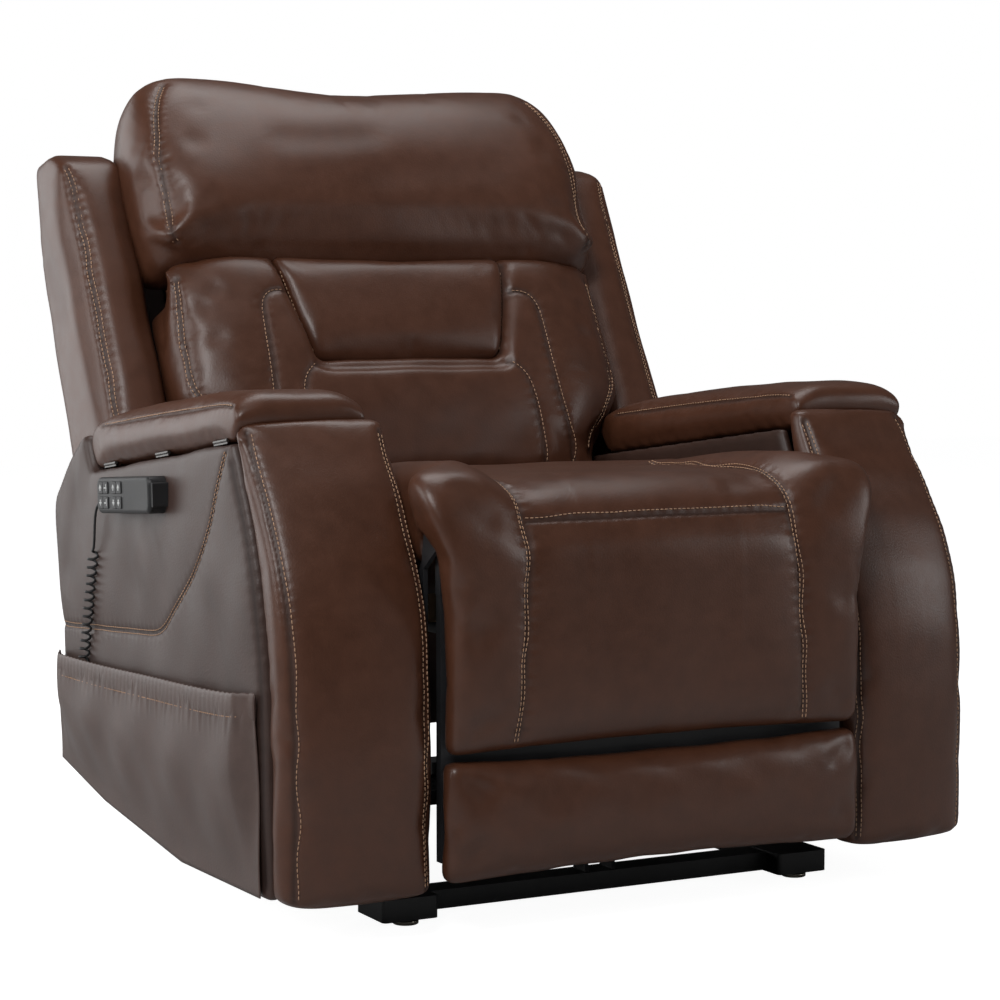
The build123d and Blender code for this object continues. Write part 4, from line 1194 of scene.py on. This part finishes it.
finishes = {
    "black_frame": hard("black_powder_coat", (0.012, 0.012, 0.013), 0.42, 0.0, 1400.0, 0.25),
    "link_steel": hard("dark_link_paint", (0.022, 0.022, 0.024), 0.45, 0.0, 1100.0, 0.2),
    "plated_steel": hard("nickel_plate", (0.50, 0.46, 0.38), 0.25, 1.0, 600.0, 0.05),
    "zinc_steel": hard("zinc_plate", (0.16, 0.155, 0.15), 0.4, 1.0, 500.0, 0.08),
    "spring_steel": hard("oiled_spring_wire", (0.12, 0.12, 0.13), 0.35, 1.0, 700.0, 0.05),
    "black_plastic": hard("black_moulded_plastic", (0.014, 0.014, 0.015), 0.48, 0.0, 2200.0, 0.35),
    "grey_keys": hard("key_plastic", (0.030, 0.030, 0.031), 0.5, 0.0, 2600.0, 0.25),
    "frame_wood": hard("frame_hardwood", (0.42, 0.29, 0.17), 0.6, 0.0, 90.0, 0.4, 0.001),
    "black_rubber": hard("black_rubber", (0.013, 0.013, 0.014), 0.5, 0.0, 1500.0, 0.2),
}
thread_finish = hard("tan_thread", (0.52, 0.31, 0.19), 0.6, 0.0, 2400.0, 0.5)
mark_finish = hard("pale_print", (0.62, 0.63, 0.62), 0.6, 0.0, 1800.0, 0.1)
print(len(bpy.data.materials), "materials")


# %% Dress the frame's own parts
slot_of = {row["node"]: row["material_slot"] for row in frame["record"]["subparts"]}
for node_name, node in frame["nodes"].items():
    chosen = finishes.get(slot_of[node_name], brown_leather)
    if not node.material_slots:
        node.data.materials.append(chosen)
    for place_slot in node.material_slots:
        place_slot.material = chosen

# %% [markdown]
# ## Thread
# Thousands of stitches are one small bead of thread, repeated along every remembered
# line by Geometry Nodes. Named inputs set the stitch's length, gap and thickness.

# %% Stitch tree
def stitch_tree():
    tree = bpy.data.node_groups.new("topstitch", "GeometryNodeTree")
    tree.interface.new_socket(name="Seams", in_out="INPUT", socket_type="NodeSocketGeometry")
    ids = {}
    for label, value in (("Pitch", 0.0052), ("Length", 0.0042), ("Thickness", 0.0010)):
        socket = tree.interface.new_socket(name=label, in_out="INPUT", socket_type="NodeSocketFloat")
        socket.default_value = value
        ids[label] = socket.identifier
    socket = tree.interface.new_socket(name="Thread", in_out="INPUT", socket_type="NodeSocketMaterial")
    ids["Thread"] = socket.identifier
    tree.interface.new_socket(name="Stitches", in_out="OUTPUT", socket_type="NodeSocketGeometry")
    into, out = tree.nodes.new("NodeGroupInput"), tree.nodes.new("NodeGroupOutput")
    walk = put(tree, "GeometryNodeCurveToPoints", mode="LENGTH")
    bead = put(tree, "GeometryNodeMeshUVSphere", Segments=6, Rings=4, Radius=1.0)
    halves = [put(tree, "ShaderNodeMath", operation="MULTIPLY") for _ in range(2)]
    size = put(tree, "ShaderNodeCombineXYZ")
    shape = put(tree, "GeometryNodeTransform")
    copies = put(tree, "GeometryNodeInstanceOnPoints")
    real = put(tree, "GeometryNodeRealizeInstances")
    painted = put(tree, "GeometryNodeSetMaterial")
    link = tree.links.new
    for half, label in zip(halves, ("Thickness", "Length")):
        link(into.outputs[label], half.inputs[0])
        half.inputs[1].default_value = 0.5
    link(halves[0].outputs[0], size.inputs[0])
    link(halves[0].outputs[0], size.inputs[1])
    link(halves[1].outputs[0], size.inputs[2])
    link(size.outputs[0], shape.inputs["Scale"])
    link(bead.outputs["Mesh"], shape.inputs[0])
    link(into.outputs["Seams"], walk.inputs["Curve"])
    link(into.outputs["Pitch"], walk.inputs["Length"])
    link(walk.outputs["Points"], copies.inputs["Points"])
    link(walk.outputs["Rotation"], copies.inputs["Rotation"])
    link(shape.outputs[0], copies.inputs["Instance"])
    link(copies.outputs[0], real.inputs[0])
    link(real.outputs[0], painted.inputs["Geometry"])
    link(into.outputs["Thread"], painted.inputs["Material"])
    link(painted.outputs[0], out.inputs[0])
    return tree, ids


topstitch, topstitch_ids = stitch_tree()


def thread_rows(name, rows, pitch=0.0062, length=0.0050, thickness=0.0015):
    lines = bpy.data.curves.new(name + "_lines", "CURVE")
    lines.dimensions = "3D"
    for row in rows:
        spline = lines.splines.new("POLY")
        spline.points.add(len(row) - 1)
        spline.points.foreach_set("co", np.column_stack([row * MM, np.ones(len(row))]).ravel())
    carrier = bpy.data.objects.new(name + "_lines", lines)
    bpy.context.scene.collection.objects.link(carrier)
    modifier = carrier.modifiers.new("Topstitch", "NODES")
    modifier.node_group = topstitch
    for label, value in (("Pitch", pitch), ("Length", length), ("Thickness", thickness),
                         ("Thread", thread_finish)):
        modifier[topstitch_ids[label]] = value
    bpy.context.view_layer.update()
    graph = bpy.context.evaluated_depsgraph_get()
    mesh = bpy.data.meshes.new_from_object(carrier.evaluated_get(graph))
    modifier.node_group = None
    bpy.data.objects.remove(carrier)
    piece = bpy.data.objects.new(name, mesh)
    bpy.context.scene.collection.objects.link(piece)
    print(name, len(mesh.polygons) // 24, "stitches")
    return piece


thread_pieces = {key: thread_rows(f"thread_{key}", rows) for key, rows in threads.items()}

# %% [markdown]
# ## Putting it together
# Every cover stands for one or more frame parts, hides them and takes one of the
# finishes above. Most ride on the body that carries them; the seat cover, its thread
# and the rear flap stay where they are.

# %% Riding and replacing
def dress(piece, material, body=None, nodes=()):
    piece.data.materials.clear()
    piece.data.materials.append(material)
    for face in piece.data.polygons if piece.type == "MESH" else ():
        face.use_smooth = True
    if body:
        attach(piece, body)
    if nodes:
        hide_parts(*nodes)
    return piece


for side in SIDES:
    name = SIDE_NAME[side]
    pad, panel, inner = arm_covers[side]
    dress(pad, brown_leather, "chair", [f"{name}_arm_front"])
    dress(panel, sheen_side_leather, "chair", [f"{name}_arm_outer"])
    dress(inner, shaded_inside_leather, "chair", [f"{name}_arm_inner"])
    dress(lid_pads[side], brown_leather, f"{name}_lid", [f"{name}_lid_pad"])
    dress(wings[side], brown_leather, "back", [f"{name}_wing"])
dress(seat, brown_leather, None, ["seat_cushion", "legrest_upper_pad"])
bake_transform(seat)
dress(lower, brown_leather, "legrest", ["legrest_lower_pad"])
dress(back, brown_leather, "back", ["back_cushion"])
dress(roll, brown_leather, "lumbar", ["lumbar_pad"])
dress(pillow, brown_leather, "headrest", ["headrest_pillow"])
dress(rear_panel, sheen_side_leather, "back", ["back_rear_panel"])
dress(rear_cover, sheen_side_leather, "chair", ["rear_cover"])
for side in SIDES:
    name = SIDE_NAME[side]
    (sheet, wide, tall, area), hem = pockets[side]
    dress(hem, sheen_pocket_leather, "chair")
    dress(sheet, sheen_pocket_leather, "chair", [f"{name}_side_pocket"])
dress(flap, sheen_side_leather)
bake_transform(flap)
for key, piece in thread_pieces.items():
    for face in piece.data.polygons:
        face.use_smooth = True
    if key == "seat":
        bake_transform(piece)
    else:
        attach(piece, key)
for number, mark in key_marks.items():
    dress(mark, mark_finish, f"key_{number}")
dress(handset_cord, finishes["black_rubber"], "chair",
      ["handset_cord_lead", "handset_cord_coil", "handset_cord_tail"])

# %% [markdown]
# ## Floor, light and camera
# A pale floor and five soft lights keep the sheen of the leather broad and quiet, as in
# a studio: behind and beside the left, a key light in front, one above, and a weak fill.

# %% Studio
FLOOR_HALF = 9000
floor = mesh_from("studio_floor", [(x * FLOOR_HALF, y * FLOOR_HALF, 0) for x, y in
                                   ((-1, -1), (1, -1), (1, 1), (-1, 1))], [(0, 1, 2, 3)])
floor_finish, floor_tree, floor_shader = new_material("studio_paper")
floor_shader.inputs["Base Color"].default_value = (0.6, 0.6, 0.6, 1)
floor_shader.inputs["Roughness"].default_value = 0.95
floor_shader.inputs["Specular IOR Level"].default_value = 0.1
bright = put(floor_tree, "ShaderNodeEmission", Color=(1, 1, 1, 1), Strength=0.95)
looked_at = put(floor_tree, "ShaderNodeLightPath")
blank = put(floor_tree, "ShaderNodeEmission", Color=(0, 0, 0, 1), Strength=0.0)
shown = put(floor_tree, "ShaderNodeMixShader")
total = put(floor_tree, "ShaderNodeAddShader")
floor_tree.links.new(looked_at.outputs["Is Camera Ray"], shown.inputs[0])
floor_tree.links.new(blank.outputs[0], shown.inputs[1])
floor_tree.links.new(bright.outputs[0], shown.inputs[2])
floor_tree.links.new(shown.outputs[0], total.inputs[0])
floor_tree.links.new(floor_shader.outputs[0], total.inputs[1])
floor_tree.links.new(total.outputs[0], floor_tree.nodes["Material Output"].inputs[0])
floor.data.materials.append(floor_finish)

world = bpy.data.worlds.new("studio")
world.use_nodes = True
bpy.context.scene.world = world
sky = world.node_tree
ambient = sky.nodes["Background"]
ambient.inputs[0].default_value = (0.95, 0.97, 1.0, 1)
ambient.inputs[1].default_value = 0.07
paper = put(sky, "ShaderNodeBackground", Color=(1, 1, 1, 1), Strength=1.0)
seen = put(sky, "ShaderNodeLightPath")
either = put(sky, "ShaderNodeMixShader")
sky.links.new(seen.outputs["Is Camera Ray"], either.inputs[0])
sky.links.new(ambient.outputs[0], either.inputs[1])
sky.links.new(paper.outputs[0], either.inputs[2])
sky.links.new(either.outputs[0], sky.nodes["World Output"].inputs[0])


def soft_light(name, place, target, size, power, colour=(1, 1, 1)):
    lamp = bpy.data.lights.new(name, "AREA")
    lamp.shape, lamp.size, lamp.size_y = "RECTANGLE", size[0], size[1]
    lamp.energy, lamp.color = power, colour
    holder = bpy.data.objects.new(name, lamp)
    holder.location = place
    holder.rotation_euler = (Vector(target) - Vector(place)).to_track_quat("-Z", "Y").to_euler()
    holder.visible_camera = False
    bpy.context.scene.collection.objects.link(holder)


soft_light("rear_left_softbox", (-2.3, 3.2, 1.3), (-0.2, 0, 0.5), (3.0, 2.6), 44)
soft_light("left_softbox", (-3.2, 0.2, 1.9), (0, 0, 0.5), (1.8, 1.8), 34)
soft_light("key_softbox", (-1.9, -1.9, 2.8), (0, 0, 0.55), (1.1, 1.1), 46)
soft_light("top_softbox", (0.3, 0.4, 3.0), (0, 0, 0.6), (1.8, 1.4), 26)
soft_light("right_fill", (2.6, -2.2, 1.3), (0, 0, 0.5), (0.9, 1.4), 16)

camera_data = bpy.data.cameras.new("studio_camera")
camera_data.lens = 93.343
camera_data.sensor_width = 36
camera = bpy.data.objects.new("studio_camera", camera_data)
camera.location = (-1.6098463, -3.0882684, 0.7222169)
camera.rotation_euler = (radians(85.89), 0, radians(-28.11))
bpy.context.scene.collection.objects.link(camera)
bpy.context.scene.camera = camera
bpy.context.scene.view_settings.view_transform = "Standard"
